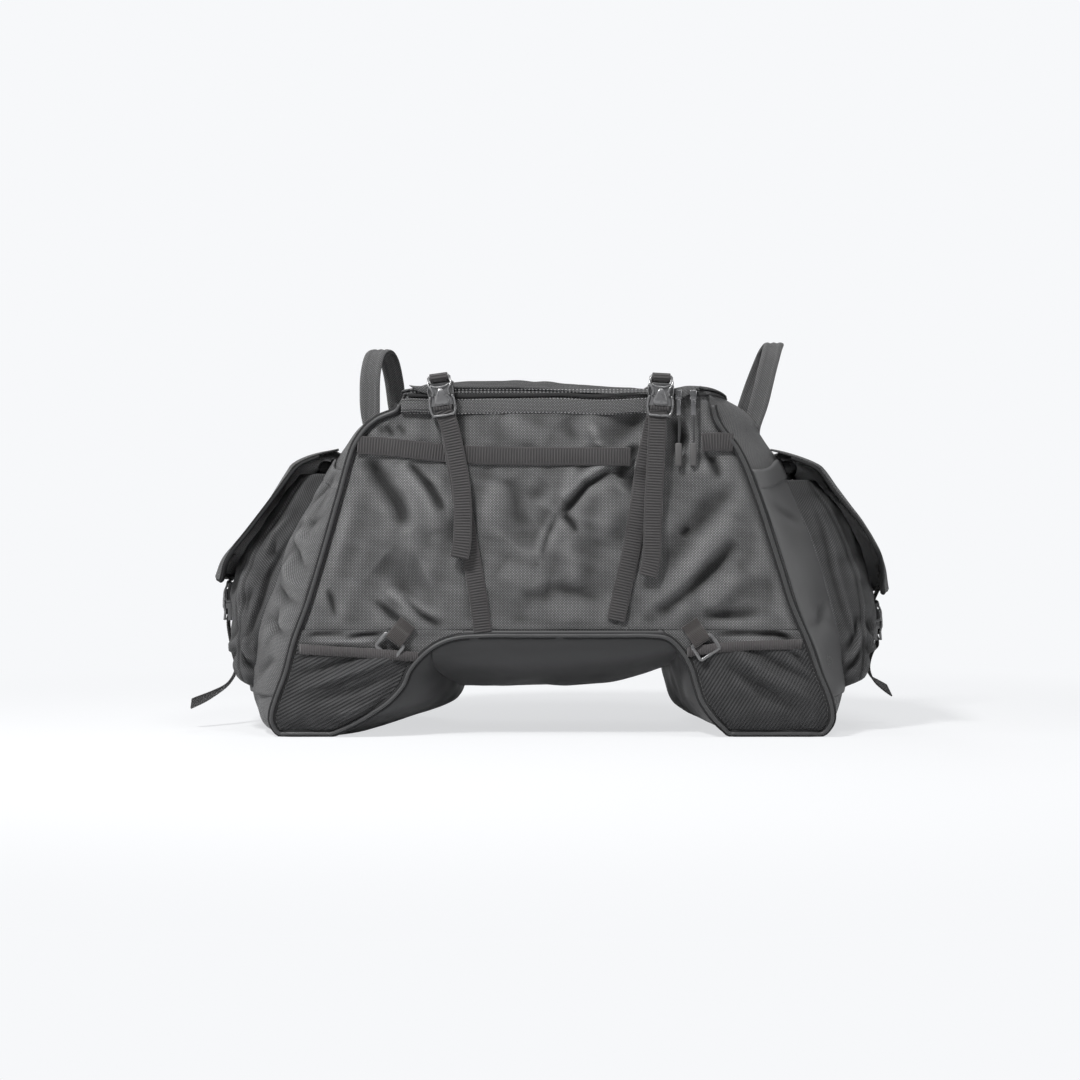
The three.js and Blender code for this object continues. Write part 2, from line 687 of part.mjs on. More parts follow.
for (const [name, form] of Object.entries(sides)) {
  const side = form.side;

  // End of the bag
  add(`${name}_end_panel`, endPanel(form), smoothCloth);
  add(`${name}_pouch`, endPouch(form), cloth);
  add(`${name}_flap`, pouchFlap(form), cloth);

  // Mesh pocket on the front of the leg
  const meshLevels = [...legLevels.filter((height) => height >= meshFoot && height < meshTop), meshTop];
  const meshSurface = (lift) => (u, v) => {
    const height = meshLevels[Math.round(u * (meshLevels.length - 1))];
    const from = form.innerFrontAt(height) + meshMargin;
    const to = form.pipingAt(height) - meshMargin;
    return new THREE.Vector3(side * (from + (to - from) * v), -halfDepth(height) - lift, height);
  };
  add(`${name}_mesh_pocket`,
    sheet(meshSurface(seat + clothThickness), meshSurface(seat), meshLevels.length - 1, 6), meshCloth);

  // Handle, cut to the shoulder that it is sewn to
  const handlePath = form.handle.map(([x, y, rise]) => new THREE.Vector3(x, y, zipHeight + rise));
  const rootDrop = 14;
  handlePath.unshift(handlePath[0].clone().add(new THREE.Vector3(0, 0, -rootDrop)));
  handlePath.push(handlePath[handlePath.length - 1].clone().add(new THREE.Vector3(0, 0, -rootDrop)));
  const loop = strip(handlePath, new THREE.Vector3(1, 0, 0), handleWidth, handleThickness);
  add(`${name}_handle`, cut(loop, compartment(seat), lidPanel()), cloth);

  // Front buckle
  const { buckle } = form;
  const frame = new THREE.Group();
  frame.position.set(buckle.x, -depth / 2 - buckleStandoff, buckle.z);
  frame.rotation.y = -buckle.tilt * degrees;
  bag.add(frame);
  frame.updateMatrixWorld(true);
  const toBag = (x, y, z) => new THREE.Vector3(x, y, z).applyMatrix4(frame.matrix);
  const plug = bucklePlug();
  add(`${name}_front_socket`, buckleSocket(), plastic, frame);
  add(`${name}_front_plug`, plug.geometry, plastic, frame);

  // Tail of the strap: over the plug's lower bar, then hanging down
  const lean = form.tail.lean * degrees;
  const tailStart = toBag(0, -barThickness - touch, (plug.barTop + plugFloor) / 2 + 2);
  const tailAcross = new THREE.Vector3(Math.cos(lean), 0, Math.sin(lean));
  const tailDown = new THREE.Vector3(Math.sin(lean), 0, -Math.cos(lean));
  const tailPoint = (run) => tailStart.clone().addScaledVector(tailDown, run);
  const upward = (from, to, steps) => spaced(to, from, steps).map(tailPoint);
  const hang = strip(upward(0, form.tail.length, 6), tailAcross, webbingWidth, webbingThickness);
  const hem = strip(
    upward(form.tail.length - hemLength, form.tail.length, 1)
      .map((point) => point.add(new THREE.Vector3(0, touch - webbingThickness, 0))),
    tailAcross,
    webbingWidth,
    webbingThickness,
  );
  add(`${name}_front_tail`, join(hang, hem), webbing);

  // Strap from its stitched foot at the seam, over the cross webbing, to the back of the plug
  const top = toBag(0, 0, (plug.barTop + plug.slotTop) / 2);
  const [footX, footZ] = form.strapFoot;
  const strapRun = new THREE.Vector2(top.x - footX, top.z - footZ).normalize();
  const strapAcross = new THREE.Vector3(strapRun.y, 0, -strapRun.x);
  const overCross = 2 * seat + webbingThickness + crossLift;
  const behindPlug = 2 * seat + webbingThickness;
  const standoffAt = straight([
    [crossHeight - 2 * webbingWidth, seat],
    [crossHeight - webbingWidth, overCross],
    [crossHeight + 0.6 * webbingWidth, overCross],
    [crossHeight + 1.1 * webbingWidth, seat],
    [crossHeight + 2 * webbingWidth, seat],
    [top.z, behindPlug],
  ]);
  const strapPath = spaced(0, 1, 32).map((t) => {
    const x = footX + (top.x - footX) * t;
    const z = footZ + (top.z - footZ) * t;
    const edge = webbingWidth / 2;
    const standoff = standoffAt(Math.max(z, crossHeight - 2 * webbingWidth));
    const clear = Math.min(frontAt(x - edge, z), frontAt(x + edge, z), frontAt(x, z));
    return new THREE.Vector3(x, clear - standoff, z);
  });
  add(`${name}_front_strap`, strip(strapPath, strapAcross, webbingWidth, webbingThickness), webbing);

  // Lid strap: round the socket's bar, then over the lid to its back edge
  const barX = new THREE.Vector3(1, 0, 0);
  const barAcross = barX.clone().applyQuaternion(frame.quaternion);
  const aroundBar = barLoop().map((point) => toBag(point.x, point.y, point.z));
  const lidPath = [-0.91, -0.8, -0.7, -0.65, -0.36, 0, 0.36, 0.65, 0.7, 0.8, 0.91].map((share) => {
    const y = (share * depth) / 2;
    const edges = [-webbingWidth / 2, 0, webbingWidth / 2].map((dx) => lidTop(buckle.x + dx, y));
    return new THREE.Vector3(buckle.x, y, Math.max(...edges) + pipingSeat);
  });
  add(`${name}_lid_strap`, strip(
    [...aroundBar, ...lidPath],
    [...aroundBar.map(() => barAcross), ...lidPath.map(() => barX)],
    webbingWidth,
    webbingThickness,
  ), webbing);

  // Strap and buckle of the end pouch, in a frame that faces outwards
  const pouchOut = form.pouchAt(form.pouchBuckleHeight) + 2 * seat + webbingThickness;
  const endFrame = new THREE.Group();
  endFrame.position.set(side * pouchOut, 0, form.pouchBuckleHeight);
  endFrame.rotation.z = side * Math.PI / 2;
  bag.add(endFrame);
  const inEnd = (x, height) => new THREE.Vector3(0, pouchOut - x, height - form.pouchBuckleHeight);
  add(`${name}_pouch_socket`, buckleSocket(), plastic, endFrame);
  add(`${name}_pouch_plug`, plug.geometry.clone(), plastic, endFrame);

  // Flap strap: round the socket's bar and up under the flap
  const flapTip = form.flap[form.flap.length - 1][1];
  const underFlap = [4, 12, 20].map((rise) => {
    const height = flapTip + rise;
    return inEnd(form.flapAt(height) - flapThickness * 1.25 - webbingThickness - 2 * seat, height);
  });
  add(`${name}_flap_strap`, strip([...barLoop(), ...underFlap], barX, webbingWidth, webbingThickness),
    webbing, endFrame);

  // Pouch strap: from the pouch's foot up behind the plug
  const pouchStrapTop = form.pouchBuckleHeight + (plug.barTop + plug.slotTop) / 2;
  const pouchHeights = form.pouch.map(([height]) => height).filter((height) => height < pouchStrapTop);
  const pouchStrapPath = [...pouchHeights.slice(1), pouchStrapTop]
    .map((height) => inEnd(form.pouchAt(height) + seat, height));
  add(`${name}_pouch_strap`, strip(pouchStrapPath, barX, webbingWidth, webbingThickness), webbing, endFrame);

  // Its tail: over the plug's lower bar, down the pouch and out to a loose tip
  const tailTop = form.pouchBuckleHeight + (plug.barTop + plugFloor) / 2 + 2;
  const barFront = pouchOut + barThickness + touch;
  const pouchTailPath = [[barFront, 0, tailTop], [barFront, 0, tailTop - 10], ...form.pouchTail]
    .map(([x, y, z]) => new THREE.Vector3(side * x, y, z)).reverse();
  const twist = pouchTailPath.map((point, i) => {
    const turn = Math.max(0, 1 - i / 3) * 0.7;
    return new THREE.Vector3(side * -0.3 * turn, side * Math.cos(turn), Math.sin(turn)).normalize();
  });
  add(`${name}_pouch_tail`, strip(pouchTailPath, twist, webbingWidth, webbingThickness), webbing);

  // Anchor tabs and rings at the seam, front and back
  for (const [face, turn] of [['front', 0], ['back', Math.PI]]) {
    const holder = new THREE.Group();
    holder.rotation.z = turn;
    const ringFrame = new THREE.Group();
    const x = turn ? -form.ring.x : form.ring.x;
    ringFrame.position.set(x, -depth / 2 - seat - webbingThickness - loopRadius, form.ring.z);
    ringFrame.rotation.y = (turn ? form.ring.tilt : -form.ring.tilt) * degrees;
    holder.add(ringFrame);
    bag.add(holder);
    add(`${name}_${face}_tab`, foldedTab(tabLength), webbing, ringFrame);
    add(`${name}_${face}_ring`, slottedRing(), plastic, ringFrame);
  }

  // Zip slider and its pull
  const spot = pullSpots[name];
  const sliderBack = -depth / 2 - seat - zipThickness - touch;
  const sliderFront = sliderBack - sliderThickness;
  add(`${name}_slider`, box(spot - sliderWidth / 2, sliderFront, zipHeight - sliderHeight / 2,
    spot + sliderWidth / 2, sliderBack, zipHeight + sliderHeight / 2), metal);
  const hingeZ = zipHeight - pullHinge;
  const tabBack = sliderFront - pullClearance;
  const tabTop = hingeZ + pullTabThickness / 2;
  const tabFoot = tabTop - pullTabLength;
  add(`${name}_pull_tab`, box(spot - pullTabWidth / 2, tabBack - pullTabThickness, tabFoot,
    spot + pullTabWidth / 2, tabBack, tabTop), metal);
  const cordFoot = tabFoot - touch - pullCordLength;
  const pullY = tabBack - pullTabThickness / 2;
  add(`${name}_pull_cord`, tube([
    new THREE.Vector3(spot, pullY, tabFoot - touch),
    new THREE.Vector3(spot + 0.8, pullY, (tabFoot + cordFoot) / 2),
    new THREE.Vector3(spot, pullY, cordFoot),
  ], pullCordRadius, 8, 8), trim);
  const gripTop = cordFoot - touch;
  add(`${name}_pull_grip`, box(spot - pullGripWidth / 2, pullY - pullGripThickness / 2, gripTop - pullGripLength,
    spot + pullGripWidth / 2, pullY + pullGripThickness / 2, gripTop), trim);
}

// A level strip on the front panel (face -1) or the back panel (face 1)
function levelStrip(from, to, height, width, thickness, face, drop = 0) {
  const path = spaced(from, to, 20).map((x, i) => {
    const z = height - (drop * i) / 20;
    const clear = Math.min(frontAt(x, z - width / 2), frontAt(x, z + width / 2), frontAt(x, z));
    return new THREE.Vector3(x, face * (seat - clear), z);
  });
  return strip(path, new THREE.Vector3(0, 0, face), width, thickness);
}

// Zip and its stitched band
add('zip_chain', levelStrip(zipLeftEnd, zipRightEnd, zipHeight, zipWidth, zipThickness, -1), trim);
add('zip_band', levelStrip(zipLeftEnd, zipRightEnd, zipHeight - bandHang - bandHeight / 2, bandHeight,
  bandThickness, -1), webbing);

// Cross webbing
add('front_cross_webbing', levelStrip(crossLeft, crossRight, crossHeight, webbingWidth, webbingThickness, -1),
  webbing);
add('front_cross_stub', levelStrip(crossStubLeft, crossStubRight, crossStubHeight, webbingWidth,
  webbingThickness, -1, crossStubDrop), webbing);
add('back_cross_webbing', levelStrip(crossLeft, crossStubRight, crossHeight, webbingWidth, webbingThickness, 1),
  webbing);

export default bag;
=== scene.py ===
import math

import bmesh
import bpy
import numpy as np
from mathutils import Matrix, Vector


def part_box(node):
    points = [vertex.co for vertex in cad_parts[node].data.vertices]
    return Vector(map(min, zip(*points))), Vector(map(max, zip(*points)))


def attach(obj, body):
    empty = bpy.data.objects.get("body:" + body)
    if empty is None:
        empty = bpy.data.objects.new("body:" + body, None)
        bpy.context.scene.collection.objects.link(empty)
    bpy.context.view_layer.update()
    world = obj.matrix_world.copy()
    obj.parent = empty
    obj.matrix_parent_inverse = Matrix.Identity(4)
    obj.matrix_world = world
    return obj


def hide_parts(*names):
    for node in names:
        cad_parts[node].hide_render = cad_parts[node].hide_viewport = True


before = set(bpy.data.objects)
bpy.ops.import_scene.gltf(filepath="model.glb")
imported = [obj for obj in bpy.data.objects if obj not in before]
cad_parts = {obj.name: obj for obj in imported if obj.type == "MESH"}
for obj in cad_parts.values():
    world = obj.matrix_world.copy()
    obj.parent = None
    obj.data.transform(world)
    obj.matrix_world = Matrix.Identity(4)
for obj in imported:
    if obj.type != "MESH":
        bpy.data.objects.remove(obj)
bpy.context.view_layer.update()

# Camera and studio. A straight front view from a little over two metres, in an all pale studio
# with soft light from above, so that the bag stands on a pale seamless floor.
scene = bpy.context.scene
scene.view_settings.view_transform = "Standard"

camera = bpy.data.objects.new("camera", bpy.data.cameras.new("camera"))
camera.data.lens = 66.67
camera.data.sensor_width = 36
camera.location = (-0.0072, -2.4, 0.221)
camera.rotation_euler = (math.pi / 2, 0, 0)
scene.collection.objects.link(camera)
scene.camera = camera


def lamp(name, place, target, size, power):
    light = bpy.data.lights.new(name, "AREA")
    light.shape = "DISK"
    light.size = size
    light.energy = power
    holder = bpy.data.objects.new(name, light)
    holder.location = place
    holder.rotation_euler = (Vector(target) - Vector(place)).to_track_quat("-Z", "Y").to_euler()
    scene.collection.objects.link(holder)
    return holder


lamp("key_lamp", (-0.9, -1.55, 2.25), (0, 0, 0.22), 0.45, 92)
lamp("top_lamp", (0.5, -0.9, 2.3), (0, 0, 0.3), 0.9, 17)
lamp("right_lamp", (2.1, -1.0, 1.0), (0.1, 0, 0.2), 0.7, 11)
lamp("left_lamp", (-2.2, -0.9, 0.9), (-0.1, 0, 0.2), 0.7, 13)
lamp("back_lamp", (-0.4, 2.2, 1.5), (0, 0, 0.25), 1.2, 24).visible_glossy = False

PALE = (0.930, 0.939, 0.956, 1)
ROOM = (0.93, 0.94, 0.96, 1)


def pale_material(name, paper_share):
    """Pale paper that takes the bag's shadow close by, and is as pale as the backdrop further off."""
    material = bpy.data.materials.new(name)
    material.use_nodes = True
    nodes = material.node_tree.nodes
    links = material.node_tree.links
    nodes.clear()
    out = nodes.new("ShaderNodeOutputMaterial")
    paper = nodes.new("ShaderNodeBsdfDiffuse")
    paper.inputs["Color"].default_value = (0.70, 0.705, 0.715, 1)
    glow = nodes.new("ShaderNodeEmission")
    glow.inputs["Color"].default_value = PALE
    place = nodes.new("ShaderNodeTexCoord")
    reach = nodes.new("ShaderNodeVectorMath")
    reach.operation = "LENGTH"
    links.new(place.outputs["Object"], reach.inputs[0])
    far = nodes.new("ShaderNodeMapRange")
    far.interpolation_type = "SMOOTHSTEP"
    for socket, value in zip(far.inputs[1:5], (0.45, 1.3, 1 - paper_share, 1)):
        socket.default_value = value
    links.new(reach.outputs["Value"], far.inputs[0])
    share = nodes.new("ShaderNodeMath")
    share.operation = "MULTIPLY"
    links.new(far.outputs[0], share.inputs[1])
    path = nodes.new("ShaderNodeLightPath")
    links.new(path.outputs["Is Camera Ray"], share.inputs[0])
    mix = nodes.new("ShaderNodeMixShader")
    links.new(share.outputs[0], mix.inputs["Fac"])
    links.new(paper.outputs[0], mix.inputs[1])
    links.new(glow.outputs[0], mix.inputs[2])
    links.new(mix.outputs[0], out.inputs["Surface"])
    return material


floor_mesh = bpy.data.meshes.new("floor")
floor_mesh.from_pydata([(-6, -6, 0), (6, -6, 0), (6, 6, 0), (-6, 6, 0)], [], [(0, 1, 2, 3)])
floor = bpy.data.objects.new("floor", floor_mesh)
scene.collection.objects.link(floor)
floor_mesh.materials.append(pale_material("floor_paper", 0.3))

world = bpy.data.worlds.new("studio")
scene.world = world
world.use_nodes = True
sky = world.node_tree.nodes
sky_links = world.node_tree.links
room = sky["Background"]
room.inputs["Color"].default_value = ROOM
room.inputs["Strength"].default_value = 0.09
mirrored = sky.new("ShaderNodeBackground")
mirrored.inputs["Color"].default_value = ROOM
mirrored.inputs["Strength"].default_value = 0.4
seen = sky.new("ShaderNodeBackground")
seen.inputs["Color"].default_value = PALE
mirror_mix = sky.new("ShaderNodeMixShader")
seen_mix = sky.new("ShaderNodeMixShader")
seen_path = sky.new("ShaderNodeLightPath")
sky_links.new(seen_path.outputs["Is Camera Ray"], seen_mix.inputs["Fac"])
sky_links.new(seen_path.outputs["Is Glossy Ray"], mirror_mix.inputs["Fac"])
sky_links.new(room.outputs[0], mirror_mix.inputs[1])
sky_links.new(mirrored.outputs[0], mirror_mix.inputs[2])
sky_links.new(mirror_mix.outputs[0], seen_mix.inputs[1])
sky_links.new(seen.outputs[0], seen_mix.inputs[2])
sky_links.new(seen_mix.outputs[0], sky["World Output"].inputs["Surface"])


# Compartment. One large bag of coarse ballistic nylon, cut as front, back and two end gussets that
# are sewn to each other over piping. It is lightly stuffed, so the front panel creases and dents.
SHIFT = 6


def through(points):
    """A smooth curve through [height, distance] points, read at any height."""
    heights, reach = np.array(points, float).T
    last = len(heights) - 1
    before = np.maximum(np.arange(last + 1) - 1, 0)
    after = np.minimum(np.arange(last + 1) + 1, last)
    slope = (reach[after] - reach[before]) / (heights[after] - heights[before])

    def at(height):
        height = np.asarray(height, float)
        i = np.clip(np.searchsorted(heights, height) - 1, 0, last - 1)
        span = heights[i + 1] - heights[i]
        t = np.clip((height - heights[i]) / span, 0, 1)
        return (reach[i] * (2 * t**3 - 3 * t**2 + 1) + slope[i] * span * (t**3 - 2 * t**2 + t)
                + reach[i + 1] * (3 * t**2 - 2 * t**3) + slope[i + 1] * span * (t**3 - t**2))

    return at


LEFT = {
    "name": "left", "side": -1,
    "piping": through([[0, 290], [6, 304], [20, 311], [45, 305], [72, 295], [106, 286], [150, 270],
                       [220, 249], [284, 231], [324, 219], [345, 205], [355, 192], [364, 172], [383, 166]]),
    "end": through([[0, 322], [6, 336], [22, 346], [50, 355], [100, 355], [150, 345], [221, 318],
                    [260, 292], [300, 266], [331, 243], [353, 226], [363, 210], [374, 184], [383, 172]]),
}
RIGHT = {
    "name": "right", "side": 1,
    "piping": through([[0, 286], [6, 302], [20, 311], [45, 307], [72, 296], [97, 288], [134, 271],
                       [202, 249], [266, 228], [318, 207], [343, 188], [358, 180], [383, 176]]),
    "end": through([[0, 306], [6, 322], [22, 334], [50, 345], [100, 350], [150, 341], [221, 320],
                    [260, 301], [305, 279], [331, 260], [346, 251], [359, 245], [373, 230], [383, 206]]),
}
SIDES = (LEFT, RIGHT)
SEAM = 120
ZIP = 383
HALF_DEEP = 165


def half_depth(height):
    return HALF_DEEP - 17 * np.maximum(0, 1 - np.asarray(height, float) / 40) ** 2.5


def bulge(x, height):
    edge = np.where(x < 0, LEFT["piping"](height), RIGHT["piping"](height))
    across = np.maximum(0, 1 - (x / edge) ** 2)
    up = np.clip((height - SEAM) / (ZIP - SEAM), 0, 1)
    return 6 * across * np.sin(np.pi * up) ** 1.3


def end_x(form, height, y):
    t = np.minimum(1, np.abs(y) / half_depth(height))
    return form["piping"](height) + (form["end"](height) - form["piping"](height)) * (1 - t**2.2) ** 0.7


def smooth(low, high, value):
    t = np.clip((value - low) / (high - low), 0, 1)
    return t * t * (3 - 2 * t)


def ripples(a, b, size, seed):
    """Soft seeded unevenness of about one unit, with hollows about size apart."""
    rng = np.random.default_rng(seed)
    total = np.zeros(np.broadcast(a, b).shape)
    for _ in range(7):
        angle, phase = rng.uniform(0, 2 * np.pi, 2)
        pitch = size * rng.uniform(0.7, 1.8)
        total = total + np.sin(2 * np.pi * (a * np.cos(angle) + b * np.sin(angle)) / pitch + phase)
    return total / 3.2


def points_at(x, y, z):
    """Points from their coordinates, any of which may be one number for all."""
    return np.stack(np.broadcast_arrays(x, y, z), axis=-1)


def unit(vectors):
    return vectors / np.maximum(np.linalg.norm(vectors, axis=-1, keepdims=True), 1e-9)


def run_of(line):
    """How far each point of a line lies along it."""
    return np.concatenate([[0], np.cumsum(np.linalg.norm(np.diff(line, axis=0), axis=1))])


def crease(a, b, line, inside, outside):
    """A groove or ridge of unit height along a line. Its two sides may be of unequal width."""
    line = np.array(line, float)
    spans = np.hypot(*np.diff(line, axis=0).T)
    best = np.full(a.shape, 1e9)
    signed = np.zeros(a.shape)
    along = np.zeros(a.shape)
    run = 0
    for start, end, span in zip(line[:-1], line[1:], spans):
        step = (end - start) / span
        t = (a - start[0]) * step[0] + (b - start[1]) * step[1]
        near = np.clip(t, 0, span)
        da = a - start[0] - near * step[0]
        db = b - start[1] - near * step[1]
        gap = np.hypot(da, db)
        closer = gap < best
        best = np.where(closer, gap, best)
        signed = np.where(closer, (a - start[0]) * step[1] - (b - start[1]) * step[0], signed)
        along = np.where(closer, (run + near) / spans.sum(), along)
        run += span
    width = np.where(signed > 0, inside, outside)
    fade = np.sin(np.pi * np.clip(along, 0.02, 0.98)) ** 0.7
    return np.exp(-(best / width) ** 2) * fade


# Where the photograph shows the creases of the front panel, as lines of photograph pixels, with the
# relief in millimetres (below zero is a hollow) and the widths to the line's right and left
FOLDS = [
    ([(365, 456), (395, 500), (412, 530)], -7, 12, 9),
    ([(400, 460), (424, 500), (434, 535)], 5, 9, 9),
    ([(405, 462), (428, 487), (444, 512)], -5, 8, 5),
    ([(378, 560), (402, 580), (425, 570)], -5, 26, 26),
    ([(385, 588), (408, 606), (434, 627)], 5, 6, 7),
    ([(398, 596), (420, 615), (444, 631)], -6, 6, 5),
    ([(372, 600), (392, 616), (408, 628)], -3, 5, 5),
    ([(327, 588), (331, 602), (335, 618)], -2, 4, 4),
    ([(384, 426), (389, 431), (394, 438)], -1.6, 4, 4),
    ([(396, 425), (402, 430), (406, 436)], -1.3, 4, 4),
    ([(376, 424), (380, 430), (383, 436)], -1.0, 4, 4),
    ([(645, 412), (626, 428), (604, 446)], -5, 16, 14),
    ([(562, 418), (570, 432), (582, 446)], -2, 10, 10),
    ([(500, 416), (520, 430), (548, 444)], 3, 14, 14),
    ([(548, 482), (540, 492), (527, 502)], -1.6, 10, 10),
    ([(557, 512), (546, 535), (540, 556)], -5, 22, 5),
    ([(555, 510), (543, 535), (536, 556)], 3, 6, 8),
    ([(614, 467), (586, 484), (568, 505), (563, 516)], -5.5, 6, 5),
    ([(612, 463), (582, 480), (562, 502)], 4.5, 6, 7),
    ([(563, 514), (572, 524), (577, 533)], -3.5, 5, 4),
    ([(574, 468), (568, 486), (563, 500)], 3.5, 7, 7),
    ([(506, 540), (516, 528), (532, 518)], -2.2, 22, 22),
    ([(596, 520), (590, 560), (580, 600)], -3, 24, 24),
    ([(588, 425), (593, 431), (597, 439)], 2.5, 4, 5),
    ([(594, 440), (598, 444), (602, 448)], 2, 3, 3),
    ([(500, 565), (520, 580), (548, 586)], 2.5, 16, 18),
    ([(736, 514), (716, 540), (692, 568), (662, 598), (640, 616)], 4.2, 12, 13),
    ([(742, 478), (716, 504), (690, 530), (662, 566)], -4.2, 14, 12),
    ([(738, 540), (708, 570), (682, 594), (654, 618)], -4, 10, 9),
    ([(744, 570), (726, 590), (700, 606)], 3, 12, 12),
    ([(682, 538), (685, 533), (689, 527)], -2.5, 4, 4),
    ([(700, 616), (730, 616), (762, 614)], -3, 6, 8),
    ([(350, 480), (338, 530), (322, 580)], 3, 16, 16),
    ([(470, 480), (466, 540), (470, 590)], -3, 18, 18),
    ([(500, 480), (492, 510), (488, 540)], 3, 16, 16),
    ([(640, 470), (632, 480), (622, 490)], -5, 12, 12),
    ([(674, 418), (680, 438), (676, 458)], -7, 10, 9),
    ([(638, 444), (630, 460), (616, 478)], -7, 8, 6),
    ([(700, 450), (712, 462), (720, 480)], -4, 7, 6),
    ([(408, 470), (414, 500), (410, 540), (400, 575)], 3, 12, 14),
    ([(506, 476), (516, 500), (520, 530)], -3, 10, 14),
    ([(560, 540), (572, 560), (576, 590)], 3, 12, 12),
    ([(520, 600), (560, 590), (600, 600)], -3, 12, 10),
    ([(600, 480), (606, 510), (600, 545)], 3, 12, 10),
]
PIXEL = 1.1175


def on_front(points):
    """Photograph pixels to millimetres on the front panel."""
    return [((px - 551) * PIXEL, 221 + (540 - py) * PIXEL) for px, py in points]


def front_folds(x, z):
    edge = np.where(x < 0, LEFT["piping"](z), RIGHT["piping"](z)) - np.abs(x)
    hold = smooth(0, 16, edge) * smooth(SEAM, SEAM + 14, z) * smooth(ZIP + 2, ZIP - 14, z)
    total = 2.2 * ripples(x, z, 95, 3) + 1.2 * ripples(x, z, 42, 8) + 0.4 * ripples(x, z, 17, 21)
    for line, relief, inside, outside in FOLDS:
        total = total + 2.3 * relief * crease(x, z, on_front(line), inside, outside)
    total = np.where(total > 0, 7 * np.tanh(total / 7), 18 * np.tanh(total / 18))
    calm = np.maximum(np.exp(-((x - 149) / 24) ** 2) * smooth(296, 318, z),
                      np.exp(-((x + 108) / 15) ** 4) * smooth(320, 332, z))
    total = np.where(total > -3, total * (1 - calm) - 3 * calm, total)
    return total * hold - 2.2 * np.exp(-(edge / 5) ** 2)


def front_y(x, z):
    return -half_depth(z) - bulge(x, z) - front_folds(x, z)


def back_y(x, z):
    hold = smooth(SEAM, SEAM + 16, z) * smooth(ZIP + 2, ZIP - 14, z)
    return half_depth(z) + bulge(x, z) + hold * (1.6 * ripples(x, z, 110, 40) + 0.6 * ripples(x, z, 38, 41)
                                                 - 2.5 * np.exp(-((x + z - 260) / 16) ** 2)
                                                 + 2 * np.exp(-((x - z + 300) / 18) ** 2))


def put(name, points, faces, material, node=None, flat=None, body="bag"):
    """A mesh piece from points in millimetres about the bag's centre line. It rides on a body and
    stands for a CAD node."""
    points = np.asarray(points, float)
    mesh = bpy.data.meshes.new(name)
    mesh.from_pydata(((points + (SHIFT, 0, 0)) * 0.001).tolist(), [], [list(face) for face in faces])
    mesh.materials.append(material)
    mesh.polygons.foreach_set("use_smooth", [True] * len(mesh.polygons))
    if flat is not None:
        layer = mesh.uv_layers.new(name="cloth")
        corners = np.empty(len(mesh.loops), np.int32)
        mesh.loops.foreach_get("vertex_index", corners)
        layer.data.foreach_set("uv", (np.asarray(flat, float)[corners] * 0.001).ravel())
    piece = bpy.data.objects.new(name, mesh)
    scene.collection.objects.link(piece)
    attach(piece, body)
    if node:
        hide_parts(node)
    return piece


def lengths(grid, axis):
    """How far each point of a grid lies along one of its directions."""
    steps = np.linalg.norm(np.diff(grid, axis=axis), axis=2)
    zero = np.zeros_like(np.take(steps, [0], axis=axis))
    return np.concatenate([zero, np.cumsum(steps, axis=axis)], axis=axis)


def standing(grid, loop=False, reach=11):
    """How far each point of a grid stands out from the cloth around it: below zero in a hollow."""
    normal = unit(np.cross(np.gradient(grid, axis=0), np.gradient(grid, axis=1)))
    mean = grid
    for axis in (0, 1):
        spacing = np.linalg.norm(np.diff(grid, axis=axis), axis=2).mean()
        count = int(np.clip(round(reach / max(spacing, 0.1)), 1, grid.shape[axis] // 2 - 1))
        around = [(0, 0)] * 3
        around[axis] = (count + 1, count)
        total = np.cumsum(np.pad(mean, around, mode="wrap" if loop and axis else "reflect"), axis=axis)
        size = grid.shape[axis]
        mean = (np.take(total, range(2 * count + 1, size + 2 * count + 1), axis=axis)
                - np.take(total, range(size), axis=axis)) / (2 * count + 1)
    return ((grid - mean) * normal).sum(axis=2)


def mark(piece, relief):
    """Keep the relief on the mesh, where the cloth's material reads it for painted shade in the hollows and
    painted light on what stands out, partly also for wear.
    """
    layer = piece.data.attributes.new("relief", "FLOAT", "POINT")
    layer.data.foreach_set("value", relief.astype(float).ravel())
    return piece


def cloth(name, grid, thickness, material, node, cut=None):
    """Closed cloth of some thickness. The grid is its outer face, and its inner face lies behind it.

    Cut is where each point lies on the flat cloth, where the mean lengths along the grid aren't it.
    """
    grid = np.asarray(grid, float)
    rows, columns = grid.shape[:2]
    normal = unit(np.cross(np.gradient(grid, axis=0), np.gradient(grid, axis=1)))
    inner = grid - normal * thickness
    points = np.concatenate([grid.reshape(-1, 3), inner.reshape(-1, 3)])
    if cut is None:
        cut = np.stack(np.broadcast_arrays(lengths(grid, 1).mean(0)[None],
                                           lengths(grid, 0).mean(1)[:, None]), axis=2)
    flat = cut.reshape(-1, 2)
    index = np.arange(rows * columns).reshape(rows, columns)
    a, b, c, d = index[:-1, :-1], index[1:, :-1], index[1:, 1:], index[:-1, 1:]
    outer_faces = np.stack([a, b, c, d], axis=2).reshape(-1, 4)
    inner_faces = outer_faces[:, ::-1] + rows * columns
    rim = np.concatenate([index[0, :], index[1:, -1], index[-1, -2::-1], index[-2:0:-1, 0]])
    following = np.roll(rim, -1)
    sides = np.stack([rim, following, following + rows * columns, rim + rows * columns], axis=1)
    faces = np.concatenate([outer_faces, inner_faces, sides]).tolist()
    relief = standing(grid).ravel() * (1 if thickness > 0 else -1)
    piece = put(name, points, faces, material, node, np.concatenate([flat, flat]))
    return mark(piece, np.concatenate([relief, relief]))


